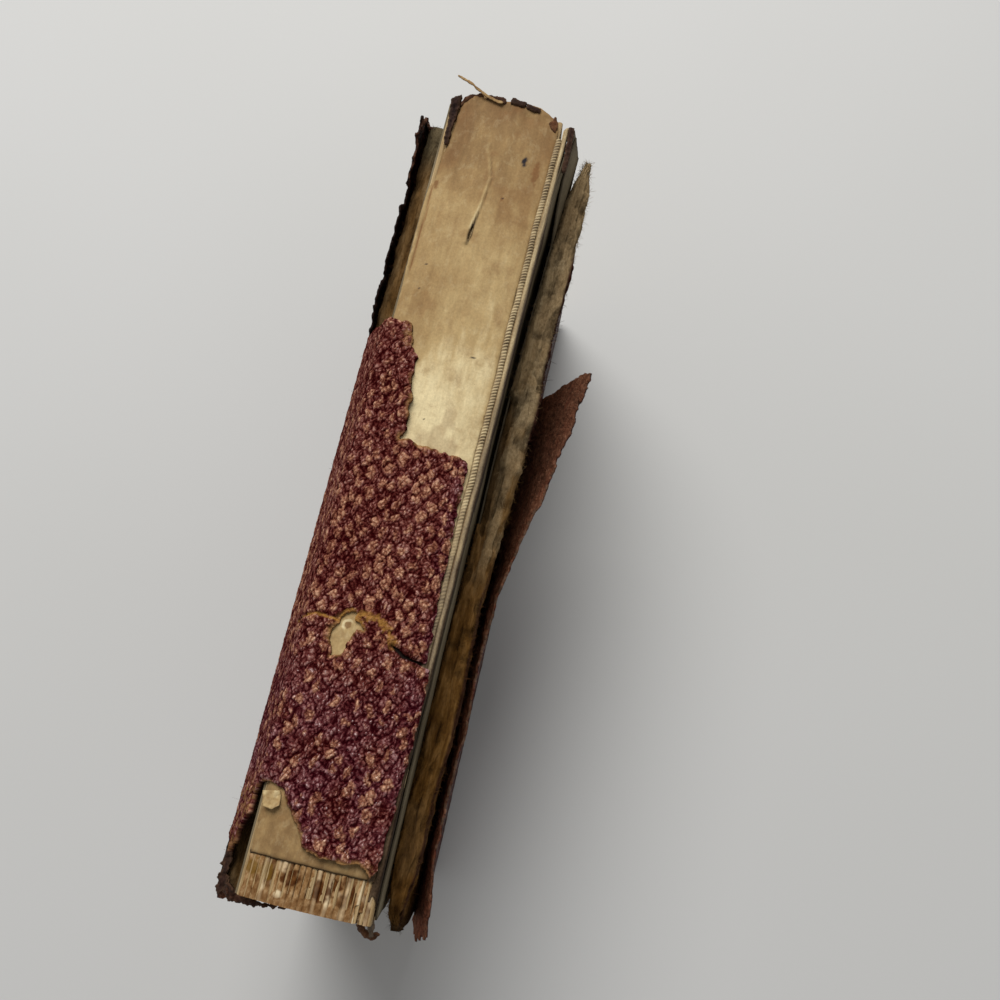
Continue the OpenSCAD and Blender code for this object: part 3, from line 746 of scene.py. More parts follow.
OCHRE_PATH = spine_outline([(-3.6, -26.1), (-0.9, -26.4), (1.1, -26.5), (2.7, -28.0), (3.5, -29.5),
                            (4.1, -30.3)])
RIGHT_CRACK_PATH = [(3.7, -30.0), (5.0, -30.8), (6.1, -31.3), (7.8, -31.6), (10.6, -32.1)]
RIGHT_CRACK = spine_outline(RIGHT_CRACK_PATH)
LEATHER_TAIL = -69.4
LEATHER_HEAD = 28.0
LEATHER_STEP = 0.18
LEATHER_SINK = 0.12
PEBBLE_ACROSS = 0.82
PEBBLE_ALONG = 1.3
MOUND_ACROSS = 2.9
MOUND_ALONG = 4.1


def leather_distance(s, y):
    d = np.maximum(outline_distance(s, y, LEATHER_EDGE), -outline_distance(s, y, LEATHER_HOLE))
    ragged = 0.22 * fractal(s / 0.9, y / 0.9, 31, 3) + 0.22 * noise(s / 3.1, y / 3.1, 35)
    crack, along = near_line(s, y + 0.15 * wander(s, 0.8, 37), RIGHT_CRACK)
    gap = np.interp(along, [0, 1.2, 2.6, 4.5, 6.9], [0.0, 0.3, 0.28, 0.12, 0.3])
    return np.maximum(d + ragged, gap - crack)


def diamonds(s, y, wide, long, seed, jitter):
    """Cells in a slanted net, as wide and as long as given."""
    return cells(s / wide + y / long, s / wide - y / long, seed, jitter)


def grain(s, y):
    """The leather's grain: its height in millimetres, and the values that its material reads."""
    ws = s + 0.42 * fractal(s / 1.3, y / 1.3, 41, 2)
    wy = y + 0.42 * fractal(s / 1.3, y / 1.3, 42, 2)
    near, second, tone = diamonds(ws, wy, PEBBLE_ACROSS, PEBBLE_ALONG, 43, 0.8)
    pebble = smooth(second - near, 0.0, 0.6)
    near, second, pick = diamonds(ws, wy, MOUND_ACROSS, MOUND_ALONG, 53, 0.7)
    crease = 1 - smooth(second - near + 0.05 * noise(s / 0.6, y / 0.6, 63), 0.0, 0.3)
    mound = smooth(0.6 - near, 0.0, 0.5) * (1 - crease)
    size = 0.36 + 0.1 * noise(s / 5.2, y / 6.4, 59) - 0.3 * (pick < 0.12 + 0.4 * smooth(-y, 26.0, 50.0))
    worn = smooth(size - near + 0.2 * (tone - 0.5) + 0.06 * noise(s / 0.5, y / 0.5, 61), -0.12, 0.2)
    flat = 1 - 0.6 * smooth(-spine_at(s, spine_x), 11.0, 14.0)
    height = flat * (0.2 * pebble + 0.2 * mound - 0.06 * crease)
    # The material paints light on the pebbles' tops and shade in the creases from these values.
    return height, {"pebble": pebble, "tone": tone, "crease": crease, "worn": worn}


def leather_lift(s, y, inset):
    """How far the leather's torn edges have come up off the lining."""
    x = spine_at(s, spine_x)
    step = between(y, 9.0, 14.0, 6.0) * smooth(x, -9.0, -4.0)
    corner = smooth(y, 21.5, 26.5) * smooth(x, -9.5, -6.3) * smooth(-x, 3.0, 6.0)
    tail = smooth(-y, 57.0, 64.0) * smooth(x, -5.0, 2.0)
    flap = smooth(-y, 55.0, 63.0) * smooth(-x, 11.8, 13.0)
    return fade(inset, 1.6) * (0.9 * step + 0.5 * corner + 0.6 * tail + 0.5 * flap)


def leather_place(s, y, inset):
    height = grain(s, y)[0]
    crack, _ = near_line(s, y, LEFT_CRACK)
    thin = bell(inset, 0.45)
    height = height * (1 - 0.7 * thin) - 0.3 * thin - 0.4 * bell(crack, 0.35)
    height = height - LEATHER_SINK + leather_lift(s, y, inset)
    nx = spine_at(s, spine_nx)
    nz = spine_at(s, spine_nz)
    x = spine_at(s, spine_x) + nx * height
    z = spine_at(s, spine_z) + nz * height
    return np.stack([x, y, z], -1), np.stack([nx, np.zeros_like(nx), nz], -1)


def leather_fields(s, y, inset):
    values = grain(s, y)[1]
    x = spine_at(s, spine_x)
    left, _ = near_line(s, y, LEFT_CRACK)
    path, _ = near_line(s, y, OCHRE_PATH)
    right, _ = near_line(s, y, RIGHT_CRACK)
    hole = np.maximum(0, outline_distance(s, y, LEATHER_HOLE))
    ragged = fractal(s / 0.7, y / 0.7, 67, 3)
    width = 0.34 + 0.2 * noise(s / 2.3, y / 2.3, 71)
    rim = 0.85 * bell(inset, width) * smooth(noise(s / 1.5, y / 1.5, 73), -0.6, 0.3)
    rim = (rim * smooth(x, -12.2, -11.0) * smooth(right, 0.5, 1.1) * smooth(-x, -9.2, -8.2)
           + 0.7 * rim * smooth(-y, 63.0, 64.5))
    corner = smooth(y, 20.5, 24.0) * smooth(x, -8.6, -6.6) * smooth(-x, 2.0, 4.0)
    tail = smooth(-y, 63.2, 64.6) * smooth(x, 5.0, 7.5)
    tatters = smooth(-x, 11.6, 12.4) * smooth(-y, 54.0, 58.0) * smooth(ragged, 0.05, 0.6)
    rim = most(rim, 0.75 * np.maximum(corner, tail) * smooth(ragged, -0.5, 0.4), 0.55 * tatters)
    ochre = most(0.9 * smooth(0.32 - left + 0.16 * ragged, 0.0, 0.2),
                 0.75 * smooth(0.8 - path + 0.5 * ragged, 0.0, 0.6),
                 0.8 * smooth(0.5 - hole + 0.3 * ragged, 0.0, 0.3) * smooth(y, -29.0, -27.6))
    purple = most(0.8 * smooth(x, 5.0, 9.5) * smooth(noise(s / 2.5, y / 3.5, 79), -0.7, 0.4),
                  0.75 * smooth(-y, 24.0, 52.0) * smooth(noise(s / 4.0, y / 4.0, 81), -0.9, 0.2))
    worn = values["worn"] * (1 - 0.5 * smooth(y, 6, 20)) * (1 - 0.3 * smooth(-x, 10.0, 13.0))
    values["worn"] = worn * (1 - 0.25 * purple)
    values["purple"] = purple
    values["torn"] = np.clip(rim, 0, 1)
    values["ochre"] = np.clip(ochre, 0, 1)
    # Painted shade along the right crack, which the material colours nearly black.
    values["black"] = bell(right, 0.3)
    values["shine"] = (0.3 + 0.7 * smooth(-y, 20, 40)) * smooth(x, -12.5, -10.0)
    return values


spine_leather = sheet(
    "spine_leather_sheet", line_between(0.0, spine_s[-1], LEATHER_STEP),
    line_between(LEATHER_TAIL, LEATHER_HEAD, LEATHER_STEP),
    leather_distance, leather_place, LEATHER_THICK, LEATHER, leather_fields)
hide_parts("spine_leather")
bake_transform(spine_leather)


# Lining paper

LINING_EDGE = [(-10.6, -66.0)] + [(x - 0.4, y) for x, y in zip(ROPE_X, ROPE_Y)] + [
    (10.5, 70.6), (9.6, 72.6), (6.2, 74.0), (0.8, 73.9), (-1.1, 73.7), (-6.3, 74.3), (-8.3, 73.2),
    (-8.8, 71.1), (-9.2, 66.0), (-9.5, 62.8), (-10.0, 60.0), (-10.2, 55.0), (-10.8, 53.4), (-11.0, 50.0),
    (-10.9, 26.0)]
LINING_STEP = 0.27
LINING_SPLIT = [(-1.2, 63.2), (-0.2, 60.0), (0.5, 57.0), (0.1, 52.0), (-0.7, 47.0), (-1.0, 43.0)]
SPLIT_LENGTH = 20.4
# How light the lining is from tail to head; it is darker at both ends, and towards the tail this is painted
# shade for light that falls off there.
TONE_Y = [-66, -58, 0, 10, 17, 25, 45, 60, 74]
TONE_SHARE = [0.1, 0.18, 1.0, 1.0, 0.88, 0.58, 0.52, 0.34, 0.12]
STAIN_SPOTS = [(-9.6, 54.3, 0.5, 0.9), (8.3, 60.5, 0.6, 2.5), (3.3, 53.5, 0.35, 0.4)]
INK_SPOTS = [(5.7, 62.2, 0.42, 0.7), (5.9, 61.4, 0.3, 0.4), (3.4, 53.6, 0.2, 0.22), (-7.4, 38.0, 0.12, 0.2),
             (5.2, 22.0, 0.35, 0.07), (-0.6, 9.0, 0.13, 0.13), (-7.5, 33.0, 0.2, 0.16)]


def split_width(along):
    """Half the width of the split, from its head end to its tail end."""
    return np.interp(along, [0, 3, 6, 11, 16, 18.5, SPLIT_LENGTH], [0.0, 0.0, 0.0, 0.03, 0.12, 0.24, 0.0])


def split_middle(y):
    """Where across the lining its split is."""
    return np.interp(y, [p[1] for p in LINING_SPLIT[::-1]], [p[0] for p in LINING_SPLIT[::-1]])


def curl_line(y):
    """Where across the lining its curled margin is folded."""
    return -10.1 + 0.15 * wander(y, 4.0, 111)


def lining_distance(x, y):
    d = outline_distance(x, y, LINING_EDGE)
    torn_head = 0.16 * smooth(y, 60, 72) * noise(x / 1.3, y / 1.3, 103)
    ragged = 0.08 * fractal(x / 0.8, y / 0.8, 101, 3) + torn_head
    crack, along = near_line(x + 0.12 * noise(x / 0.9, y / 0.9, 105), y, LINING_SPLIT)
    return np.maximum(d + ragged, split_width(along) - crack)


def lining_place(x, y, inset):
    crack, along = near_line(x, y, LINING_SPLIT)
    lip = bell(crack - split_width(along), 0.7) * (split_width(along) > 0)
    side = np.where(x > split_middle(y), 0.3, 1.0)
    cockle = 0.06 * fractal(x / 6.0, y / 11.0, 107, 3) + 0.025 * noise(x / 1.2, y / 9.0, 109)
    curled = between(y, 36.0, 53.0, 3.0)
    curl = curled * (0.35 * smooth(-x, 10.1, 10.7) - 0.22 * bell(x - curl_line(y), 0.3))
    head = smooth(y, 68.0, 73.5) * 0.25 * noise(x / 1.6, y / 1.6, 113)
    height = cockle + 0.34 * lip * side + curl + head - 0.25 * fade(inset, 0.25)
    return on_arc(x, y, LINING_R + height)


def spots(x, y, places):
    """Soft round spots at a list of places, each with two radii."""
    total = np.zeros_like(x)
    for px, py, rx, ry in places:
        wobble = 1 + 0.35 * noise(x / 0.5, y / 0.5, int(100 * abs(px) + py))
        total = np.maximum(total, smooth(1.25 - np.hypot((x - px) / rx, (y - py) / ry) * wobble, 0.0, 0.5))
    return total


def lining_fields(x, y, inset):
    crack, along = near_line(x, y, LINING_SPLIT)
    gap = crack - split_width(along)
    tone = np.interp(y, TONE_Y, TONE_SHARE)
    tone = tone + 0.14 * fractal(x / 1.3, y / 1.3, 125, 4) * smooth(-y, 48.0, 54.0)
    tone = tone + 0.12 * fractal(x / 7.0, y / 12.0, 121, 4) + 0.07 * fractal(x / 0.8, y / 6.0, 123, 3)
    tone = tone + 0.4 * bell(x - split_middle(y) + 0.38, 0.28) * between(y, 47.0, 62.0, 2.0)
    patches = smooth(noise(x / 3.0, y / 5.0, 127), -0.6, 0.5)
    fold = between(y, 38.0, 53.0, 3.0) * bell(x - curl_line(y), 0.16)
    # Stains, and painted shade along the fold of the curled margin.
    stain = most(0.4 * smooth(x, 5.0, 9.6) * smooth(y, 50, 68) * patches,
                 0.6 * smooth(x, 7.8, 9.4) * smooth(y, 63, 69) * patches,
                 0.5 * smooth(y, 66, 74) * smooth(noise(x / 2.2, y / 2.2, 129), -0.4, 0.5),
                 0.35 * smooth(y, 56, 70) * smooth(-x, 4.0, 8.0) * patches,
                 0.3 * smooth(fractal(x / 4.0, y / 5.0, 131, 3), 0.35, 0.9),
                 0.9 * fold, 0.75 * spots(x, y, STAIN_SPOTS))
    # Painted shade: in the split, along the lining's tail edge, and within about 2 mm of the leather's right
    # crack.
    edge = fade(inset, 0.18) * smooth(-y, 65.2, 65.8)
    deep = smooth(along, 11.0, 16.5)
    shut = bell(crack, 0.14) * (along < SPLIT_LENGTH) * smooth(along, 0.0, 3.0) * (0.32 + 0.5 * deep)
    below, _ = near_line(x, y, RIGHT_CRACK_PATH)
    dark = most(shut, deep * fade(np.maximum(gap, 0), 0.1), edge, smooth(-below, -3.0, -2.0))
    return {"tone": np.clip(tone, 0, 1), "stain": stain, "crack": np.clip(dark, 0, 1),
            "ink": spots(x, y, INK_SPOTS)}


# Coarse steps where the leather hides the lining
lining_y = runs((-66.6, -54.0, 0.3), (-52.5, 1.5, 1.5), (2.0, 75.0, LINING_STEP))
spine_lining = sheet("spine_lining_paper", line_between(-11.3, 11.0, LINING_STEP), lining_y, lining_distance,
                     lining_place, LINING_THICK, LINING, lining_fields)
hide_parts("spine_lining")
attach(spine_lining, "leaves")


# Paper that shows through the leather's hole

HOLE_PAPER_EDGE = [(-7.6, -34.6), (-0.6, -34.6), (-0.6, -25.0), (-7.6, -25.0)]
HOLE_PAPER_STEP = 0.15
HOLE_PAPER_THICK = 0.05


def hole_distance(x, y):
    return outline_distance(x, y, HOLE_PAPER_EDGE)


def hole_place(x, y, inset):
    return on_arc(x, y, LINING_R + 0.06 + 0.04 * fractal(x / 0.8, y / 0.8, 85, 3))


def hole_fields(x, y, inset):
    dot = np.hypot(x + 4.3, y + 28.3) + 0.1 * noise(x / 0.4, y / 0.4, 87)
    ring = smooth(0.28 - np.abs(dot - 0.85), 0.0, 0.15) * smooth(y - x, -24.6, -23.4)
    tone = 0.72 + 0.12 * fractal(x / 0.8, y / 1.5, 83, 3) + 0.4 * ring
    return {"tone": tone, "stain": 0.65 * smooth(0.62 - dot, 0.0, 0.12) + 0.2 * smooth(y, -28.5, -26.5),
            "crack": x * 0, "ink": x * 0}


hole_paper = sheet("hole_paper", line_between(-7.8, -0.4, HOLE_PAPER_STEP),
                   line_between(-34.8, -24.8, HOLE_PAPER_STEP), hole_distance, hole_place, HOLE_PAPER_THICK,
                   LINING, hole_fields)
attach(hole_paper, "leaves")


# Backs of the folded sections below the lining

FOLD_COLUMNS = 9
FOLD_HALF = 0.54
FOLD_RISE = 0.5
FOLD_SINK = 0.42
FOLD_STEP = 0.16
FOLD_TAIL = -72.55
FOLD_HEAD = -65.6
GLUE_BLOCKS = [(-3.1, -68.3, 1.5, 1.2), (2.0, -69.0, 1.9, 1.5), (4.3, -67.7, 1.1, 0.9),
               (7.2, -68.6, 0.5, 1.6)]
OCHRE_BLOCKS = [(-9.6, -68.0, 1.4, 1.3), (-7.0, -68.2, 1.0, 1.3)]
WHITE_SPOTS = [(-4.4, -70.9, 0.8, 0.6), (-5.8, -69.6, 0.3, 0.4)]
FOLD_SLOTS = [[(8.4, -70.2), (8.8, -73.0)], [(9.3, -71.1), (9.6, -73.0)]]


def build_folds():
    ys = line_between(FOLD_TAIL, FOLD_HEAD, FOLD_STEP)
    first = -(SECTIONS - 1) / 2 * FOLD_PITCH
    across = np.linspace(-1, 1, FOLD_COLUMNS)
    points = []
    faces = []
    values = {"glue": [], "white": [], "groove": [], "ochre": []}
    for i in range(SECTIONS):
        q, y = np.meshgrid(across, ys, indexing="ij")
        pick = np.array([i])
        lean = 0.14 * (lattice(pick, pick, 141)[0] - 0.5)
        rise = 0.2 * (lattice(pick, pick, 143)[0] - 0.5)
        x = first + i * FOLD_PITCH + lean + 0.05 * wander(y + 14 * i, 2.0, 145) + FOLD_HALF * q
        round_back = FOLD_RISE * np.sqrt(np.clip(1 - (0.98 * q) ** 2, 0, 1))
        smear = smooth(-y + 0.4 * noise(x / 0.8, y / 2.0, 146), 70.4, 71.3)
        slots = np.minimum(near_line(x, y, FOLD_SLOTS[0])[0], near_line(x, y, FOLD_SLOTS[1])[0])
        slots = smooth(0.34 - slots, 0.0, 0.12)
        round_back = round_back * (1 - 0.55 * smear) + 0.28 * smear - 1.2 * slots
        rough = 0.05 * fractal(x / 0.4, y / 0.9, 147, 3)
        p, _ = on_arc(x, y, FOLD_R - FOLD_SINK + round_back + rise * (1 - smear) + rough)
        glue = 0.75 * smooth(noise(x / 1.6, y / 2.3, 149) + 0.5 * noise(x / 0.7, y / 1.1, 151), 0.0, 0.5)
        glue = np.maximum(glue * smooth(y, -71.2, -70.2), spots(x, y, GLUE_BLOCKS))
        white = 0.45 * smooth(noise(x / 1.2 + 3, y / 1.6, 157), 0.3, 0.75)
        white = white + 0.45 * (lattice(pick, pick, 159)[0] > 0.72) * smooth(1 - np.abs(q), 0.3, 0.7)
        white = white + 0.9 * spots(x, y, WHITE_SPOTS)
        white = white * (1 - 0.85 * glue) * (1 - 0.6 * smear)
        white = white + 0.8 * smooth(0.35 - np.abs(x - 8.5 - 0.05 * (y + 69)), 0, 0.2)
        # Painted shade in the grooves between the sections and in the slots.
        values["groove"].append(np.maximum(smooth(np.abs(q), 0.62, 1.0) * (1 - 0.8 * smear), slots).ravel())
        values["ochre"].append((0.8 * spots(x, y, OCHRE_BLOCKS)).ravel())
        values["glue"].append(np.maximum(glue, 0.3 * smear).ravel())
        values["white"].append(np.clip(white, 0, 1).ravel())
        faces.append(grid_faces(FOLD_COLUMNS, len(ys)) + sum(len(b) for b in points))
        points.append(p.reshape(-1, 3))
    joined = {k: np.concatenate(v) for k, v in values.items()}
    return make_mesh("section_folds", np.concatenate(points), np.concatenate(faces), FOLDS, joined)


section_folds = build_folds()
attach(section_folds, "leaves")


# Corded edge of the joint cloth, and its strip over the shoulder

ROPE_PITCH = 0.6
ROPE_HALF = 0.55
ROPE_TAIL = -66.0
ROPE_HEAD = 68.5
ROPE_STEP = 0.1
ROPE_COLUMNS = 11
STRIP_HEAD = 71.6
STRIP_LONG = 7.0
STRIP_THICK = 0.2
STRIP_TOP_Z = 94.35
STRIP_SIDE_Z = 94.1
# How light the strip is along the book, darker towards the tail as painted shade for light that falls off
# there.
STRIP_TONE_Y = [-66, -53, -37, -20, -3, 20, 50, 70]
STRIP_TONE_SHARE = [0.18, 0.22, 0.32, 0.42, 0.52, 0.76, 0.82, 0.86]
STRIP_EDGE = [(-0.1, -69.0), (0.3, -68.0), (0.9, -68.8), (1.4, -70.0), (STRIP_LONG, -69.0),
              (STRIP_LONG, STRIP_HEAD - 3), (1.4, STRIP_HEAD - 0.6), (0.9, STRIP_HEAD),
              (-0.1, STRIP_HEAD - 0.8)]


def build_rope():
    ys = line_between(ROPE_TAIL, ROPE_HEAD, ROPE_STEP)
    q, y = np.meshgrid(np.linspace(-1, 1, ROPE_COLUMNS), ys, indexing="ij")
    sway = 0.1 * wander(y, 7.0, 161) + 0.06 * wander(y, 1.7, 163)
    turn = y / ROPE_PITCH - 0.4 * q + 0.3 * noise(y / 3.0, q * 0.5, 165)
    bead = 0.5 + 0.5 * np.cos(2 * math.pi * turn)
    strength = (0.75 + 0.35 * wander(y, 1.1, 167)) * (0.3 + 0.7 * smooth(y, -14, 6))
    dome = np.sqrt(np.clip(1 - q * q, 0, 1))
    height = dome * (0.2 + 0.42 * strength * np.sqrt(bead)) - 0.1 * (1 - dome)
    x = np.interp(y, ROPE_Y, ROPE_X) + sway + ROPE_HALF * q
    p, _ = on_arc(x, y, LINING_R - 0.05 + height)
    # Darker towards the tail, as painted shade for light that falls off there.
    tone = np.interp(y, [-60, -20, 0, 30, 70], [0.3, 0.62, 0.92, 0.9, 0.8]) + 0.1 * wander(y, 0.9, 168)
    # Painted shade between the beads.
    tone = tone - 0.42 * (1 - bead) ** 2 * strength
    # Painted shade along both sides of the rope.
    groove = 0.75 * smooth(np.abs(q), 0.72, 1.0)
    return make_mesh("corded_edge", p.reshape(-1, 3), grid_faces(ROPE_COLUMNS, len(ys)), CLOTH,
                     {"tone": tone, "groove": groove})


def strip_place(a, y, inset):
    """Across the top from the rope to the strip's outer edge, then down the side of the leaves."""
    start = np.interp(y, ROPE_Y, ROPE_X) + 0.3
    end = np.interp(y, STRIP_Y, STRIP_X)
    top = a < 1
    fuzz = 0.05 * fractal(a / 0.3, y / 2.4, 171, 3) + 0.07 * wander(y, 5.0, 173)
    x = np.where(top, start + (end - start) * a, end + 0.05 - 0.03 * (a - 1))
    hump = 0.3 * np.sin(math.pi * np.clip(a, 0, 1)) ** 0.5
    z = np.where(top, STRIP_TOP_Z + hump - 0.25 * np.clip(a, 0, 1), STRIP_SIDE_Z - (a - 1))
    nx = smooth(a, 0.7, 1.2)
    normal = np.stack([nx, y * 0, np.sqrt(1 - 0.99 * nx * nx)], -1)
    return np.stack([x + fuzz * nx, y, z + fuzz * (1 - nx)], -1), normal


def strip_fields(a, y, inset):
    # Painted shade: darker towards the tail, and darker down the strip's side into the gap.
    tone = np.interp(y, STRIP_TONE_Y, STRIP_TONE_SHARE)
    tone = tone + 0.12 * noise(a / 0.4, y / 3.0, 175) - 0.3 * smooth(a, 0.7, 1.0)
    tone = tone - 0.4 * smooth(a, 1.0, 2.2)
    pale = 0.16 * between(y, -30, -4, 8) * between(a, 0.35, 0.6, 0.2)
    # Painted shade in the seam beside the rope.
    seam = bell(a - 0.12, 0.1) * (0.75 + 0.25 * np.cos(2 * math.pi * y / ROPE_PITCH))
    return {"tone": np.clip(tone + pale, 0.02, 1), "groove": 0.85 * seam * smooth(y, -30, -8)}


def strip_distance(a, y):
    return outline_distance(a, y, STRIP_EDGE) + 0.12 * noise(a / 0.3, y / 0.9, 177)


corded_edge = build_rope()
cloth_strip = sheet(
    "cloth_strip", runs((-0.15, 1.15, 0.1), (1.3, STRIP_LONG, 0.6)), line_between(-71, 72, 0.3),
    strip_distance, strip_place, STRIP_THICK, CLOTH, strip_fields)
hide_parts("joint_cloth")
for piece in (corded_edge, cloth_strip):
    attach(piece, "leaves")


# Free endpaper at the front, which leans out at the head

ENDPAPER_EDGE = [(-71.8, 0.4), (72.3, 0.4), (72.3, 90.0), (71.9, 93.4), (70.8, 94.4), (60.0, 94.3),
                 (30.0, 93.6), (12.0, 92.8), (-71.0, 92.4), (-71.8, 91.0)]
ENDPAPER_THICK = 0.28
ENDPAPER_OFF = 0.5
PAPER_STEP = 0.7

# How far the endpaper leans out along the book, and the share of that at each height
LEAN_Y = [30.0, 45.0, 52.0, 60.0, 66.0, 72.0]
LEAN_OUT = [0.0, 0.4, 0.9, 1.6, 2.4, 3.0]
LEAN_Z = [20.0, 50.0, 78.0, 83.0, 88.0, 94.4]
LEAN_SHARE = [0.0, 0.35, 0.96, 1.0, 0.9, 0.62]


def endpaper_place(y, z, inset):
    lean = np.interp(y, LEAN_Y, LEAN_OUT) * np.interp(z, LEAN_Z, LEAN_SHARE)
    wave = 0.08 * fractal(y / 9.0, z / 9.0, 181, 3)
    return facing(1, side_x(z) + ENDPAPER_OFF + lean + wave, y, z)


def endpaper_distance(y, z):
    return outline_distance(y, z, ENDPAPER_EDGE) + 0.12 * fractal(y / 1.4, z / 1.4, 183, 3)


def endpaper_fields(y, z, inset):
    return {"torn": fade(inset, 0.4)}


endpaper = sheet(
    "front_endpaper", line_between(-72.6, 73.2, PAPER_STEP), runs((0, 56, 4), (57, 95, 0.8)),
    endpaper_distance, endpaper_place, ENDPAPER_THICK, ENDPAPER, endpaper_fields, None)
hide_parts("front_flyleaf")
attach(endpaper, "leaves")


# Pastedown of the front board, torn off along the board's spine edge but for its head end

PASTEDOWN_EDGE = [(-72.0, 2.5), (72.0, 2.5), (72.4, 84.0), (71.6, 91.6), (68.0, 92.4), (62.0, 91.4),
                  (57.0, 88.6), (52.0, 84.0), (44.0, 82.2), (-68.0, 82.0), (-72.0, 78.0)]
PASTEDOWN_THICK = 0.25
PASTEDOWN_OFF = 0.12
PASTEDOWN_LEAN = 0.1


def pastedown_place(y, z, inset):
    wave = 0.05 * fractal(y / 9.0, z / 9.0, 187, 3)
    lean = PASTEDOWN_LEAN * np.maximum(0, z - BOARD_TOP)
    return facing(1, front_in(y, np.minimum(z, BOARD_TOP)) - PASTEDOWN_OFF - lean + wave, y, z)


def pastedown_distance(y, z):
    ragged = smooth(z, 78.0, 82.0) * 0.3 * fractal(y / 1.6, z / 1.6, 189, 3)
    return outline_distance(y, z, PASTEDOWN_EDGE) + ragged


def pastedown_fields(y, z, inset):
    return {"torn": fade(inset, 0.6)}


front_paper = sheet(
    "front_pastedown_paper", line_between(-72.8, 73.2, PAPER_STEP), runs((2, 58, 4), (59, 93, 0.8)),
    pastedown_distance, pastedown_place, PASTEDOWN_THICK, ENDPAPER, pastedown_fields, None)
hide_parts("front_pastedown")
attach(front_paper, "front_cover")


# Boards

BOARD_STEP = 0.4
RIM_POINTS = 21
FRONT_PINCH = 0.85
WORN_END = 13.0
TAIL_WEAR_SHARE = 0.65


def board_reach(y):
    """How far a rounded corner takes off the board's height near its ends."""
    past = np.clip(np.abs(y) - (BOARD_HALF - BOARD_CORNER), 0, BOARD_CORNER)
    return BOARD_CORNER - np.sqrt(np.maximum(BOARD_CORNER ** 2 - past ** 2, 0))


def pinched(share, y, pinch):
    """How far the share across a board moves to its middle at the board's worn ends."""
    ends = np.where(y > 0, 1.0, TAIL_WEAR_SHARE) * smooth(np.abs(y), BOARD_HALF - WORN_END, BOARD_HALF)
    return (0.5 - share) * pinch * ends


def build_board(name, inner, outer, side, seed, rough, tear, tint, pinch=0.0):
    """A board as a ring of points round its section, swept from tail to head.

    side is 1 where the outer face looks along +X. tear(share, y) is how much of the spine edge is gone, and
    tint(share, y, felt) gives the values for the material."""
    ys = line_between(-BOARD_HALF, BOARD_HALF, BOARD_STEP)
    walls = runs((0.0, 0.76, 0.09), (0.775, 0.995, 0.0065))
    share = np.concatenate([np.zeros(len(walls)), np.linspace(0.02, 0.98, RIM_POINTS), np.ones(len(walls))])
    level = np.concatenate([walls, np.ones(RIM_POINTS), walls[::-1]])
    k, y = np.meshgrid(np.arange(len(share)), ys, indexing="ij")
    share = share[k]
    level = level[k]
    cut = board_reach(y)
    low = BOARD_LOW + cut
    high = BOARD_TOP - 0.2 - cut - tear(share, y)
    z = low + (high - low) * level
    top = smooth(level, 0.985, 1.0)
    near_top = smooth(z, 62.0, 80.0)
    felt = fractal(share * 3.0 / 0.9 + z / 1.1, y / 2.4, seed, 5)
    streak = fractal(share * 3.0 / 0.35 + z / 0.5, y / 6.0, seed + 40, 4)
    round_off = 0.55 * (2 * share - 1) ** 6 * top
    bulge = near_top * rough * 0.5 * (felt + 0.5 * streak)
    x_in = inner(y, z)
    x_out = outer(y, z)
    x = x_in + (x_out - x_in) * (share + near_top * pinched(share, y, pinch))
    x = x + np.where(share > 0.5, bulge, -0.35 * bulge) * side
    z = z + top * rough * (0.55 * felt + 0.45 * streak) - round_off
    points = np.stack([x, y, z], -1)
    faces = grid_faces(*y.shape)
    ids = np.arange(y.size).reshape(y.shape)
    half = len(walls) + RIM_POINTS // 2
    ends = []
    for end, flip in ((0, False), (y.shape[1] - 1, True)):
        for j in range(half - 1):
            quad = [ids[j, end], ids[j + 1, end], ids[-2 - j, end], ids[-1 - j, end]]
            ends.append(quad[::-1] if flip else quad)
    faces = np.concatenate([faces, np.array(ends)])
    if side < 0:
        faces = faces[:, ::-1]
    values = tint(share, y, felt)
    values["red"] = values["red"] * smooth(z, 76.0, 81.0)
    # Painted shade in the hollows of the felt on top.
    values["dark"] = np.clip(np.maximum(values["dark"], 0.5 * smooth(-felt, 0.3, 0.9) * top), 0, 1)
    return make_mesh(name, points.reshape(-1, 3), faces, PULP, values)


def fluffed_in(y, z):
    """The front board's inner face, with the fibres that fluff in over the gap."""
    reach = 0.45 * smooth(-y, -30.0, -16.0) + 0.55 * smooth(-y, 10.0, 22.0)
    return front_in(y, z) - reach * smooth(z, 78.0, 83.0)


def split_line(y):
    """Where across the front board its layers have come apart."""
    return 0.4 + 0.06 * wander(y, 9.0, 201) + 0.04 * wander(y, 2.0, 203)


def torn_layer(share, y):
    """1 where the inner layer of the front board is torn away beside the middle."""
    wobble = 1.1 * noise(y / 1.4, share * 4, 207) + 7.0 * share
    return between(y + wobble, -3.6, 21.0, 1.8) * smooth(split_line(y) - 0.02 - share, 0.0, 0.1)


def front_tear(share, y):
    """The split between the front board's layers, the torn layer and the worn ends."""
    slit = 2.0 * bell(share - split_line(y), 0.06) * (0.2 + 0.8 * between(y, -7.0, 6.0, 5.0))
    outer = 0.9 * smooth(share, 0.85, 1.0) * smooth(wander(y, 4.0, 214), 0.0, 0.7)
    wear = 0.5 * smooth(noise(y / 6.0, share * 2, 213), 0.0, 0.8) + outer
    end = 3.2 * smooth(-y + 0.8 * noise(share * 3, y / 2.0, 217), 70.0, 76.0)
    end = end + 2.6 * smooth(y + 0.8 * noise(share * 3, y / 2.0, 219), 70.5, 76.0)
    return slit + 2.4 * torn_layer(share, y) + wear + 0.4 * smooth(0.1 - share, 0.0, 0.1) + end


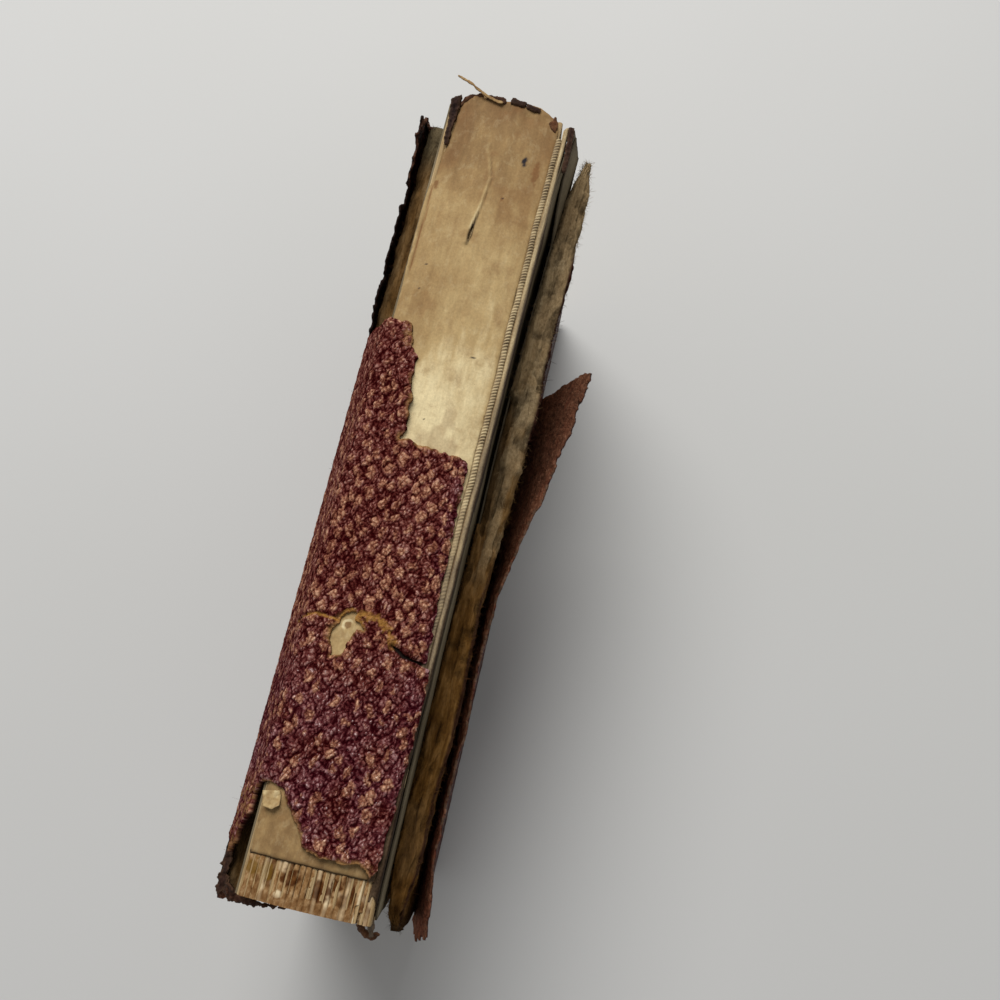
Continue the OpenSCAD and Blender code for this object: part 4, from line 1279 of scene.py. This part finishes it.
def front_tint(share, y, felt):
    # Painted shade: on the inner part beside the leaves towards the head, in the split and the torn hollow,
    # and at the tail end.
    inner = smooth(0.2 - share + 0.1 * felt, 0.0, 0.2)
    dark = inner * 0.5 * smooth(y, 30.0, 50.0) + 0.5 * smooth(front_tear(share, y), 1.5, 3.0)
    dark = dark + 0.2 * smooth(-y, 66.0, 74.0) + 0.12 * torn_layer(share, y)
    streaks = 0.8 * smooth(fractal(share * 1.6, y / 7.0, 281, 4), 0.0, 0.7)
    # Painted light on the raised ridge beside the split, and paler towards the head, partly painted light
    # that falls off towards the tail.
    ridge = between(y, -9.0, 22.0, 8.0) * between(share - split_line(y), 0.06, 0.36, 0.08)
    pale = most(streaks * (0.12 + 0.88 * smooth(y, -40.0, 26.0)), 0.55 * smooth(y, 8.0, 32.0), 0.5 * ridge)
    pale = pale * (1 - 0.8 * torn_layer(share, y))
    olive = 0.55 * smooth(y, 8.0, 45.0) * smooth(fractal(share * 1.3 + 9, y / 16.0, 291, 3), -0.3, 0.5)
    red = most(smooth(share + 0.06 * felt, 0.88, 0.97) * between(y, 14.0, 50.0, 6.0),
               0.8 * smooth(share + 0.06 * felt, 0.9, 0.98) * smooth(-y, 8.0, 20.0))
    # Browner towards the tail, partly painted shade for light that falls off there.
    return {"pale": pale, "olive": olive, "dark": dark, "red": red, "brown": 0.9 * smooth(-y, -30.0, 30.0)}


def back_tear(share, y):
    return 0.35 * smooth(fractal(y / 5.0, share * 2, 215, 3), -0.2, 0.8)


def back_tint(share, y, felt):
    pale = 0.2 * smooth(fractal(share * 1.6, y / 7.0, 311, 4), 0.2, 0.9)
    olive = 0.8 * smooth(y, 60.0, 70.0)
    # Painted shade: the whole back board is darkened, more towards its outer face.
    return {"pale": pale, "olive": olive, "dark": 0.3 + 0.4 * smooth(share, 0.5, 0.9), "red": share * 0,
            "brown": 0.5 + share * 0}


front_board = build_board(
    "front_board_pulp", fluffed_in, front_out, 1, 221, 0.7, front_tear, front_tint, FRONT_PINCH)
back_board = build_board("back_board_pulp", back_in, back_out, -1, 251, 0.4, back_tear, back_tint)
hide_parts("front_board")
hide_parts("back_board")
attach(front_board, "front_cover")
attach(back_board, "back_cover")


FIBRE_POINTS = 4
FIBRE_HALF = 0.045
FIBRE_LONG = (0.35, 1.1)


def fibres(name, roots, leans, lengths, width, look, values, seed):
    """Loose fibres as thin bent strips, each from its root along its lean."""
    rng = np.random.default_rng(seed)
    count = len(roots)
    steps = FIBRE_POINTS
    t = np.linspace(0, 1, steps)[None, :, None]
    bend = rng.normal(0, 0.45, (count, 1, 3))
    run = leans[:, None, :] / np.linalg.norm(leans, axis=1)[:, None, None]
    centre = roots[:, None, :] + lengths[:, None, None] * (run * t + bend * t * t)
    side = np.cross(run, rng.normal(0, 1, (count, 1, 3)))
    side = side / np.maximum(np.linalg.norm(side, axis=2, keepdims=True), 1e-6)
    spread = side * width * (1 - 0.7 * t)
    points = np.stack([centre - spread, centre + spread], 2).reshape(-1, 3)
    base = np.arange(count)[:, None, None] * steps * 2
    step = np.arange(steps - 1)[None, :, None] * 2
    quad = np.array([0, 1, 3, 2])[None, None, :]
    faces = (base + step + quad).reshape(-1, 4)
    spread_values = {k: np.repeat(v, steps * 2) for k, v in values.items()}
    return make_mesh(name, points, faces, look, spread_values)


def board_fuzz(name, inner, outer, tear, tint, count, seed, lean_out, pinch=0.0):
    """Fibres standing up from the spine edge of a board."""
    rng = np.random.default_rng(seed)
    y = rng.uniform(-BOARD_HALF + 1, BOARD_HALF - 0.6, count)
    share = rng.uniform(0, 1, count)
    rim = rng.uniform(0, 1, count) < 0.35
    share = np.where(rim, np.round(share), share)
    z = BOARD_TOP - 0.35 - board_reach(y) - tear(share, y) - rng.uniform(0, 1.5, count) * rim
    x = inner(y, z) + (outer(y, z) - inner(y, z)) * (share + pinched(share, y, pinch))
    roots = np.stack([x, y, z], 1)
    leans = np.stack([rng.normal(0, 0.5, count) + lean_out * (share - 0.5), rng.normal(0, 1.1, count),
                      rng.uniform(0.0, 0.8, count)], 1)
    values = {k: np.broadcast_to(v, y.shape) for k, v in tint(share, y, rng.normal(0, 0.5, count)).items()}
    return fibres(name, roots, leans, rng.uniform(*FIBRE_LONG, count), FIBRE_HALF, PULP, values, seed + 1)


front_fuzz = board_fuzz(
    "front_board_fibres", fluffed_in, front_out, front_tear, front_tint, 5200, 261, 1.4, FRONT_PINCH)
back_fuzz = board_fuzz("back_board_fibres", back_in, back_out, back_tear, back_tint, 1800, 263, -1.0)
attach(front_fuzz, "front_cover")
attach(back_fuzz, "back_cover")


# Leather of the covers

# The wrapped leather's section: depth from the board's outer face, and how far it stands out past the edge
BAND_SECTION = [(0.9, -6.0), (0.9, -3.0), (0.9, -0.6), (0.75, 0.35), (0.3, 0.8), (-0.5, 0.88), (-1.2, 0.9),
                (-1.9, 0.9), (-2.6, 0.88), (-3.3, 0.8), (-3.75, 0.35), (-3.9, -0.6), (-3.9, -2.5),
                (-3.9, -4.9)]


def build_band(name, inner, outer, top_tail, top_head, side):
    """Leather wrapped round a board's tail, fore and head edges, from outer face to turned-in margin."""
    reach = BOARD_HALF - BOARD_CORNER
    low = BOARD_LOW + BOARD_CORNER
    turn = np.linspace(0.2, 1.4, 6)
    path = [(-BOARD_HALF, z) for z in line_between(top_tail, low, 0.8)]
    path += [(-reach - BOARD_CORNER * math.cos(a), low - BOARD_CORNER * math.sin(a)) for a in turn]
    path += [(y, BOARD_LOW) for y in line_between(-reach, reach, 0.9)]
    path += [(reach + BOARD_CORNER * math.sin(a), low - BOARD_CORNER * math.cos(a)) for a in turn]
    path += [(BOARD_HALF, z) for z in line_between(low, top_head, 0.8)]
    path = np.array(path)
    way = np.gradient(path, axis=0)
    way = way / np.linalg.norm(way, axis=1)[:, None]
    out = np.stack([way[:, 1], -way[:, 0]], 1)
    rows = []
    for depth, push in BAND_SECTION:
        bump = 0.08 * fractal(np.arange(len(path)) / 5.0, np.full(len(path), push), 301, 3)
        p = path + out * push
        x_out = outer(p[:, 0], p[:, 1])
        x_in = inner(p[:, 0], p[:, 1])
        base = x_out + (x_in - x_out) * np.clip(-depth / BOARD_THICK, 0, 1)
        extra = np.where(depth > 0, depth, np.where(depth < -BOARD_THICK, depth + BOARD_THICK, 0)) * side
        rows.append(np.stack([base + extra + bump * side, p[:, 0], p[:, 1]], 1))
    points = np.array(rows)
    faces = grid_faces(len(BAND_SECTION), len(path))
    if side > 0:
        faces = faces[:, ::-1]
    worn = smooth(np.abs(np.arange(len(BAND_SECTION))[:, None] - 6) * -1.0 + 4.0, 0.0, 3.0)
    torn = worn * smooth(noise(np.arange(len(path))[None, :] / 4.0, worn * 2, 303), 0.35, 0.8) * 0.6
    zero = np.zeros((len(BAND_SECTION), len(path)))
    values = {"torn": zero + torn, "under": zero, "red": zero, "dark": zero}
    return make_mesh(name, points.reshape(-1, 3), faces, COVER, values)


def fore_corner(y, z):
    """Distance outside the round corners at the fore edge."""
    reach = BOARD_HALF - BOARD_CORNER
    round_r = BOARD_CORNER + LEATHER_THICK
    corner = np.hypot(np.maximum(np.abs(y) - reach, 0), np.maximum(round_r - z, 0)) - round_r
    return np.where((np.abs(y) > reach) & (z < round_r), corner, -9.0)


def back_face_place(y, z, inset):
    pebble = 0.1 * fractal(y / 1.6, z / 1.6, 311, 3) + 0.06 * noise(y / 6.0, z / 6.0, 313)
    wave = 0.35 * noise(y / 7.0, z / 3.0, 314) + 0.16 * fractal(y / 1.3, z / 1.3, 316, 3) - 0.1
    curl = smooth(z, 82.0, 87.0) * wave + 0.5 * smooth(-y, -35.0, -28.0) * smooth(z, 82.0, 85.0)
    return facing(-1, back_out(y, z) - LEATHER_THICK - pebble + curl, y, z)


BACK_EDGE = [(-76.3, 0.6), (-76.3, 80.0), (-74.4, 82.8), (-72.6, 82.0), (-70.2, 83.4), (-67.0, 84.8),
             (-66.4, 83.2), (-66.0, 82.0), (26.4, 82.0), (27.2, 85.2), (29.0, 84.0), (30.6, 85.4),
             (33.5, 85.0), (36.8, 85.8), (38.4, 84.4), (42.0, 85.6), (45.0, 87.0), (46.4, 85.2),
             (49.0, 85.8), (52.6, 86.8), (54.4, 84.8), (57.4, 84.6), (58.4, 86.2), (61.0, 86.6),
             (62.9, 88.2), (65.0, 87.2), (67.8, 88.2), (69.6, 87.0), (72.4, 88.4), (73.6, 86.0),
             (74.4, 81.5), (76.0, 79.0), (76.3, 0.6)]


def back_face_distance(y, z):
    d = outline_distance(y, z, BACK_EDGE)
    torn = smooth(z, 79.0, 82.0) * (0.5 * fractal(y, z, 315, 3) + 0.5 * noise(y / 3.5, z / 3.5, 317))
    return np.maximum(d + torn, fore_corner(y, z))


def back_face_thick(y, z, inset):
    return LEATHER_THICK * (1 - 0.6 * smooth(z, 80.0, 84.0))


def back_face_fields(y, z, inset):
    ragged = fractal(y / 0.8, z / 0.8, 319, 3)
    tip = smooth(y, 56.0, 60.0)
    # Painted shade: the top strip of the back cover's leather is coloured dark, less at the torn tip towards
    # the head.
    return {"torn": 0.5 * fade(inset, 0.35) * smooth(ragged, -0.2, 0.5) * tip, "red": y * 0,
            "dark": smooth(z, 79.0, 83.0) * (1 - 0.6 * tip * smooth(ragged, -0.3, 0.4))}


back_face = sheet(
    "back_cover_leather", line_between(-76.4, 76.4, 0.45), runs((0.4, 74, 1.4), (74.5, 89.5, 0.35)),
    back_face_distance, back_face_place, back_face_thick, COVER, back_face_fields)
# The sheet's own outward side is the one at +X, so the back face is turned round
back_face.data.flip_normals()
back_band = build_band("back_cover_edges", back_in, back_out, 78.0, 78.0, -1)
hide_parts("back_leather")
for piece in (back_face, back_band):
    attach(piece, "back_cover")


FRONT_EDGE = [(-76.3, 0.6), (-76.3, 50.0), (-76.6, 57.0), (-78.8, 60.4), (-77.0, 61.4), (-76.6, 63.4),
              (-78.0, 65.4), (-75.8, 66.4), (-76.4, 68.6), (-77.0, 71.2), (-75.0, 72.4), (-72.0, 73.2),
              (-66.0, 74.0), (-58.0, 73.4), (-48.0, 74.2), (-38.0, 73.6), (-28.0, 74.3), (-18.0, 73.6),
              (-11.0, 74.2), (-8.6, 73.4), (-7.8, 71.6), (-6.2, 72.8), (0.0, 73.6), (10.0, 74.2),
              (20.0, 74.0), (28.0, 74.3), (32.4, 74.6), (31.8, 69.0), (30.8, 63.0), (31.2, 56.0),
              (32.4, 49.0), (36.0, 47.6), (39.3, 46.0), (43.0, 47.4), (47.6, 48.5), (53.0, 46.2),
              (59.0, 44.1), (64.0, 45.6), (68.0, 47.0), (73.0, 44.5), (76.3, 43.0), (76.3, 0.6)]


def front_face_distance(y, z):
    d = outline_distance(y, z, FRONT_EDGE)
    ragged = 0.3 * fractal(y / 0.9, z / 0.9, 331, 3) + 0.3 * noise(y / 3.0, z / 3.0, 333)
    torn = smooth(z, 38.0, 42.0) * ragged
    torn = torn + 0.7 * smooth(-y, 67.0, 73.0) * smooth(z, 56.0, 60.0) * fractal(y / 1.5, z / 1.1, 332, 3)
    return np.maximum(d + torn, fore_corner(y, z))


def front_face_place(y, z, inset):
    t = np.clip((z - PEEL_LOW) / PEEL_RISE, 0, 1.2)
    free = smooth(z, PEEL_LOW, PEEL_LOW + 6)
    ripple = free * (0.25 * noise(y / 9.0, z / 14.0, 335) + 0.12 * fractal(y / 2.2, z / 2.2, 337, 3))
    pebble = 0.08 * fractal(y / 1.6, z / 1.6, 339, 3)
    curl = 0.35 * free * fade(inset, 1.5) * noise(y / 5.0, z / 5.0, 341)
    x = front_out(y, z) + LEATHER_THICK + peel_off(y) * t ** PEEL_CURVE + ripple + pebble + curl
    slope = peel_off(y) * PEEL_CURVE * np.maximum(t, 1e-3) ** (PEEL_CURVE - 1) / PEEL_RISE * (t > 0)
    size = np.sqrt(1 + slope ** 2)
    return np.stack([x, y, z], -1), np.stack([1 / size, np.zeros_like(x), -slope / size], -1)


def front_face_thick(y, z, inset):
    nap = 0.12 * fractal(y / 0.8, z / 0.6, 343, 4) * smooth(z, PEEL_LOW, PEEL_LOW + 4)
    return (0.85 + nap) * (1 - 0.5 * fade(inset, 1.6) * smooth(z, 55.0, 60.0))


def front_face_fields(y, z, inset):
    ragged = fractal(y / 0.7, z / 0.7, 345, 3)
    free = smooth(z, PEEL_LOW - 3, PEEL_LOW)
    rim = fade(inset, 0.22 + 0.12 * noise(y / 2.0, z / 2.0, 347)) * smooth(ragged, -0.6, 0.3)
    red = most(0.9 * smooth(-y, 44.0, 62.0) * smooth(noise(y / 4.0, z / 3.0, 349), -0.7, 0.3),
               0.35 * smooth(noise(y / 6.0, z / 4.0, 351), 0.1, 0.7))
    # Painted shade on the lower part of the free flap, in the gap beside the board; the dark value also rises
    # towards the head and in random ragged patches.
    dark = 0.7 * smooth(-z, -60.0, -50.0) * free + 0.3 * smooth(ragged, 0.2, 0.8)
    dark = dark + 0.4 * smooth(y, -4.0, 16.0)
    return {"torn": np.clip(rim, 0, 1) * (0.25 + 0.75 * between(y, -60.0, 8.0, 6.0)), "red": red,
            "dark": np.clip(dark, 0, 1)}


front_face = sheet(
    "front_cover_leather", line_between(-79.5, 76.6, 0.42),
    runs((0.4, 40, 1.8), (40.6, 70, 0.55), (70.3, 75.7, 0.3)),
    front_face_distance, front_face_place, front_face_thick, COVER, front_face_fields, None)
front_band = build_band("front_cover_edges", front_in, front_out, 47.0, 42.0, 1)
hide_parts("front_leather")
for piece in (front_face, front_band):
    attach(piece, "front_cover")


# Scraps left at the head, the tail and the shoulders

SCRAP_STEP = 0.16
SCRAP_MARGIN = 0.5
PAPER_MARGIN = 0.4


def grid_round(outline, margin):
    """Grid lines across and along that take in an outline and a margin round it."""
    return [line_between(min(v) - margin, max(v) + margin, SCRAP_STEP) for v in zip(*outline)]


def on_spine(radius):
    """A place for scraps that lie on the rounded spine."""
    return lambda x, y, height: on_arc(x, y, radius + height)


def on_slope(level, start_x, tilt_x, start_y, tilt_y):
    """A place for scraps that hang beside the spine on a slope."""

    def ground(x, y, height):
        z = level + tilt_x * (x - start_x) + tilt_y * (y - start_y) + height
        normal = np.stack([x * 0, x * 0, x * 0 + 1], -1)
        return np.stack([x, y, z], -1), normal

    return ground


def scrap(name, outline, ground, seed, brown=0.0, grey=0.0, thick=0.6, rough=0.2, ragged=0.14, body="leaves"):
    """A torn scrap of leather or paper with its own outline."""

    def distance(x, y):
        return outline_distance(x, y, outline) + ragged * fractal(x / 0.6, y / 0.6, seed, 3)

    def place(x, y, inset):
        return ground(x, y, rough * fractal(x / 0.9, y / 0.9, seed + 5, 3) - 0.25 * fade(inset, 0.3))

    def fields(x, y, inset):
        patch = smooth(noise(x / 0.9, y / 0.9, seed + 7), -0.7, 0.5)
        return {"brown": brown * (0.5 + 0.5 * patch), "grey": grey, "torn": fade(inset, 0.3)}

    piece = sheet(name, *grid_round(outline, SCRAP_MARGIN), distance, place, thick, SCRAP, fields, None)
    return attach(piece, body)


chip_one = scrap("headcap_chip_1", [(0.5, 73.2), (3.3, 73.0), (3.5, 74.0), (0.7, 74.3)], on_spine(50.3), 401)
scrap("headcap_chip_2", [(3.6, 72.9), (6.2, 72.5), (6.4, 73.4), (3.7, 73.9)], on_spine(50.3), 407)
scrap("headcap_chip_3", [(-4.2, 73.4), (-1.4, 73.0), (-0.2, 73.0), (-0.4, 74.0), (-2.4, 74.4), (-4.2, 74.3)],
      on_spine(50.1), 411, brown=0.25)
scrap("headcap_chip_4", [(8.4, 71.2), (9.9, 69.6), (10.3, 71.4), (9.4, 72.8)], on_spine(50.0), 413, brown=0.9)
scrap("headcap_chip_5", [(-9.0, 71.6), (-7.2, 73.0), (-5.0, 74.0), (-5.2, 74.6), (-7.8, 74.0), (-9.4, 72.6)],
      on_spine(49.9), 415, brown=0.5, rough=0.3)
shoulder_left = scrap(
    "back_shoulder_scrap",
    [(-10.9, 72.6), (-9.2, 73.4), (-9.0, 71.0), (-9.4, 66.5), (-9.3, 62.9), (-10.1, 62.5), (-10.5, 68.0)],
    on_spine(50.3), 417, rough=0.35)
scrap("front_shoulder_scrap",
      [(12.2, 71.4), (13.2, 71.8), (13.5, 66.0), (13.4, 62.4), (12.7, 62.2), (12.5, 66.0)],
      on_slope(94.9, 12.5, -0.3, 66.0, 0.0), 419, brown=0.12, thick=0.9)
scrap("tail_turn_in",
      [(-14.6, -72.9), (-14.2, -74.4), (-12.6, -74.9), (-9.2, -74.5), (-7.0, -73.9), (-2.6, -72.9),
       (-2.6, -72.5), (-6.0, -73.1), (-10.6, -73.4), (-12.4, -72.8), (-13.6, -71.6)],
      on_slope(88.6, -14.0, 0.5, -73.0, 0.6), 421, brown=0.25, rough=0.45, ragged=0.3, thick=0.8)
scrap("tail_shred",
      [(-16.6, -69.0), (-16.7, -74.4), (-15.8, -74.9), (-14.7, -72.8), (-15.3, -67.2), (-16.0, -66.4)],
      on_slope(84.9, -15.6, 0.6, -70.0, 0.05), 425, brown=0.1, rough=0.5, ragged=0.35, body="back_cover")
scrap("tail_loop",
      [(8.0, -73.4), (8.6, -74.4), (9.7, -75.4), (11.2, -75.4), (12.3, -74.0), (11.4, -73.8), (10.4, -74.4),
       (9.4, -73.4)],
      on_slope(89.6, 10.0, 0.1, -74.0, 0.9), 429, brown=1.0, rough=0.35)
scrap("tail_strip", [(9.7, -71.2), (10.6, -70.6), (11.3, -74.6), (10.6, -75.0)],
      on_slope(91.5, 10.5, 0.0, -72.0, 0.5), 433, grey=0.9)
scrap("tail_bits", [(9.9, -69.2), (11.2, -69.0), (11.0, -71.4), (10.0, -71.0)],
      on_slope(92.4, 10.5, 0.0, -70.0, 0.3), 437, rough=0.4)
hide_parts("headcap_remnant")
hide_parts("shoulder_scraps")


def paper_scrap(name, outline, node, place, seed, tone, thick):
    """A torn piece of the lining paper."""

    def distance(x, y):
        return outline_distance(x, y, outline) + 0.09 * fractal(x / 0.5, y / 0.5, seed, 3)

    def fields(x, y, inset):
        return {"tone": tone + 0.3 * fractal(x / 0.7, y / 0.7, seed + 1, 3), "crack": x * 0, "ink": x * 0,
                "stain": 0.3 * smooth(noise(x / 0.5, y / 0.5, seed + 2), 0, 0.6)}

    piece = sheet(name, *grid_round(outline, PAPER_MARGIN), distance, place, thick, LINING, fields, None)
    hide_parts(node)
    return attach(piece, "leaves")


SLIVER_R = 50.3
CHIP_R = 50.15
PAPER_LIFT = 0.9


def sliver_place(x, y, inset):
    lift = PAPER_LIFT * smooth(-x, 4.0, 8.0)
    return on_arc(x, y, SLIVER_R + lift + 0.15 * noise(x / 1.2, y / 1.2, 445))


def chip_place(x, y, inset):
    lift = PAPER_LIFT * smooth(-y, 56.5, 59.5)
    return on_arc(x, y, CHIP_R + lift + 0.12 * fractal(x / 0.9, y / 0.9, 451, 3))


SLIVER_EDGE = [(-0.8, 72.9), (-3.0, 73.5), (-5.2, 74.4), (-7.4, 75.6), (-9.3, 76.6), (-10.4, 77.2),
               (-10.5, 76.8), (-9.2, 76.1), (-7.2, 75.0), (-5.0, 73.8), (-2.8, 72.9), (-0.9, 72.4)]
CHIP_EDGE = [(-10.9, -56.6), (-8.0, -55.9), (-7.4, -58.1), (-8.3, -58.9), (-10.0, -58.8)]
paper_scrap("torn_sliver_paper", SLIVER_EDGE, "torn_sliver", sliver_place, 441, 0.3, 0.2)
paper_scrap("lining_chip_paper", CHIP_EDGE, "lining_chip", chip_place, 447, 0.5, 0.25)


# Solids that keep their CAD shape

for name, look in (("text_block", PAGES), ("sewing_cords", CORD), ("back_flyleaf", ENDPAPER),
                   ("back_pastedown", PASTEDOWN)):
    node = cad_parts[name]
    node.data.materials.clear()
    node.data.materials.append(look)


# Floor, light and camera

FLOOR_REACH = 3000.0


def build_floor():
    m = Look("floor")
    tone = m.noise((0.004, 0.004, 0.004), 2)
    colour = m.ramp(tone, (0.3, 202, 202, 200), (0.7, 206, 206, 205))
    look = m.done(colour, 0.9, None, 0.2)
    corners = [(x * FLOOR_REACH, y * FLOOR_REACH, 0) for x, y in ((-1, -1), (1, -1), (1, 1), (-1, 1))]
    return make_mesh("floor", corners, [(0, 1, 2, 3)], look, None, False)


floor = build_floor()

scene = bpy.context.scene
scene.view_settings.view_transform = "Standard"

SKY_STRENGTH = 0.3
world = bpy.data.worlds.new("room")
world.use_nodes = True
sky = world.node_tree.nodes["Background"]
sky.inputs["Color"].default_value = (1.0, 1.0, 1.0, 1)
sky.inputs["Strength"].default_value = SKY_STRENGTH
scene.world = world

# The one lamp, a wide disk behind the head of the book, with its places and size in metres
LAMP_PLACE = Vector((-0.19, 0.5, 0.78))
LAMP_AIM = Vector((0, 0, 0.06))
LAMP_SIZE = 0.6
LAMP_POWER = 7.7
LAMP_COLOUR = (1.0, 0.99, 0.97)


def add_lamp():
    data = bpy.data.lights.new("key", "AREA")
    data.shape = "DISK"
    data.size = LAMP_SIZE
    data.energy = LAMP_POWER
    data.color = LAMP_COLOUR
    lamp = bpy.data.objects.new("key", data)
    scene.collection.objects.link(lamp)
    lamp.location = LAMP_PLACE
    lamp.rotation_euler = (LAMP_AIM - LAMP_PLACE).to_track_quat("-Z", "Y").to_euler()


add_lamp()

# The camera's place in millimetres and its turns in radians, fitted to the photograph
CAMERA_PLACE = (25.766, -42.621, SHOULDER_Z + 165.706)
CAMERA_PITCH = 1.32174
CAMERA_ROLL = 0.02794
CAMERA_YAW = -0.24920
CAMERA_LENS = 36.0


def add_camera():
    forward = Vector((0, math.cos(CAMERA_PITCH), -math.sin(CAMERA_PITCH)))
    right = Vector((1, 0, 0))
    down = forward.cross(right)
    turned_right = math.cos(CAMERA_ROLL) * right + math.sin(CAMERA_ROLL) * down
    turned_down = -math.sin(CAMERA_ROLL) * right + math.cos(CAMERA_ROLL) * down
    turn = Matrix.Rotation(CAMERA_YAW, 3, "Z").transposed()
    axes = [turn @ turned_right, turn @ -turned_down, turn @ -forward]
    data = bpy.data.cameras.new("camera")
    data.lens = CAMERA_LENS
    data.sensor_width = CAMERA_LENS
    data.clip_start = 0.01
    camera = bpy.data.objects.new("camera", data)
    scene.collection.objects.link(camera)
    pose = Matrix((axes[0], axes[1], axes[2])).transposed().to_4x4()
    pose.translation = Vector(CAMERA_PLACE) * MM
    camera.matrix_world = pose
    scene.camera = camera


add_camera()
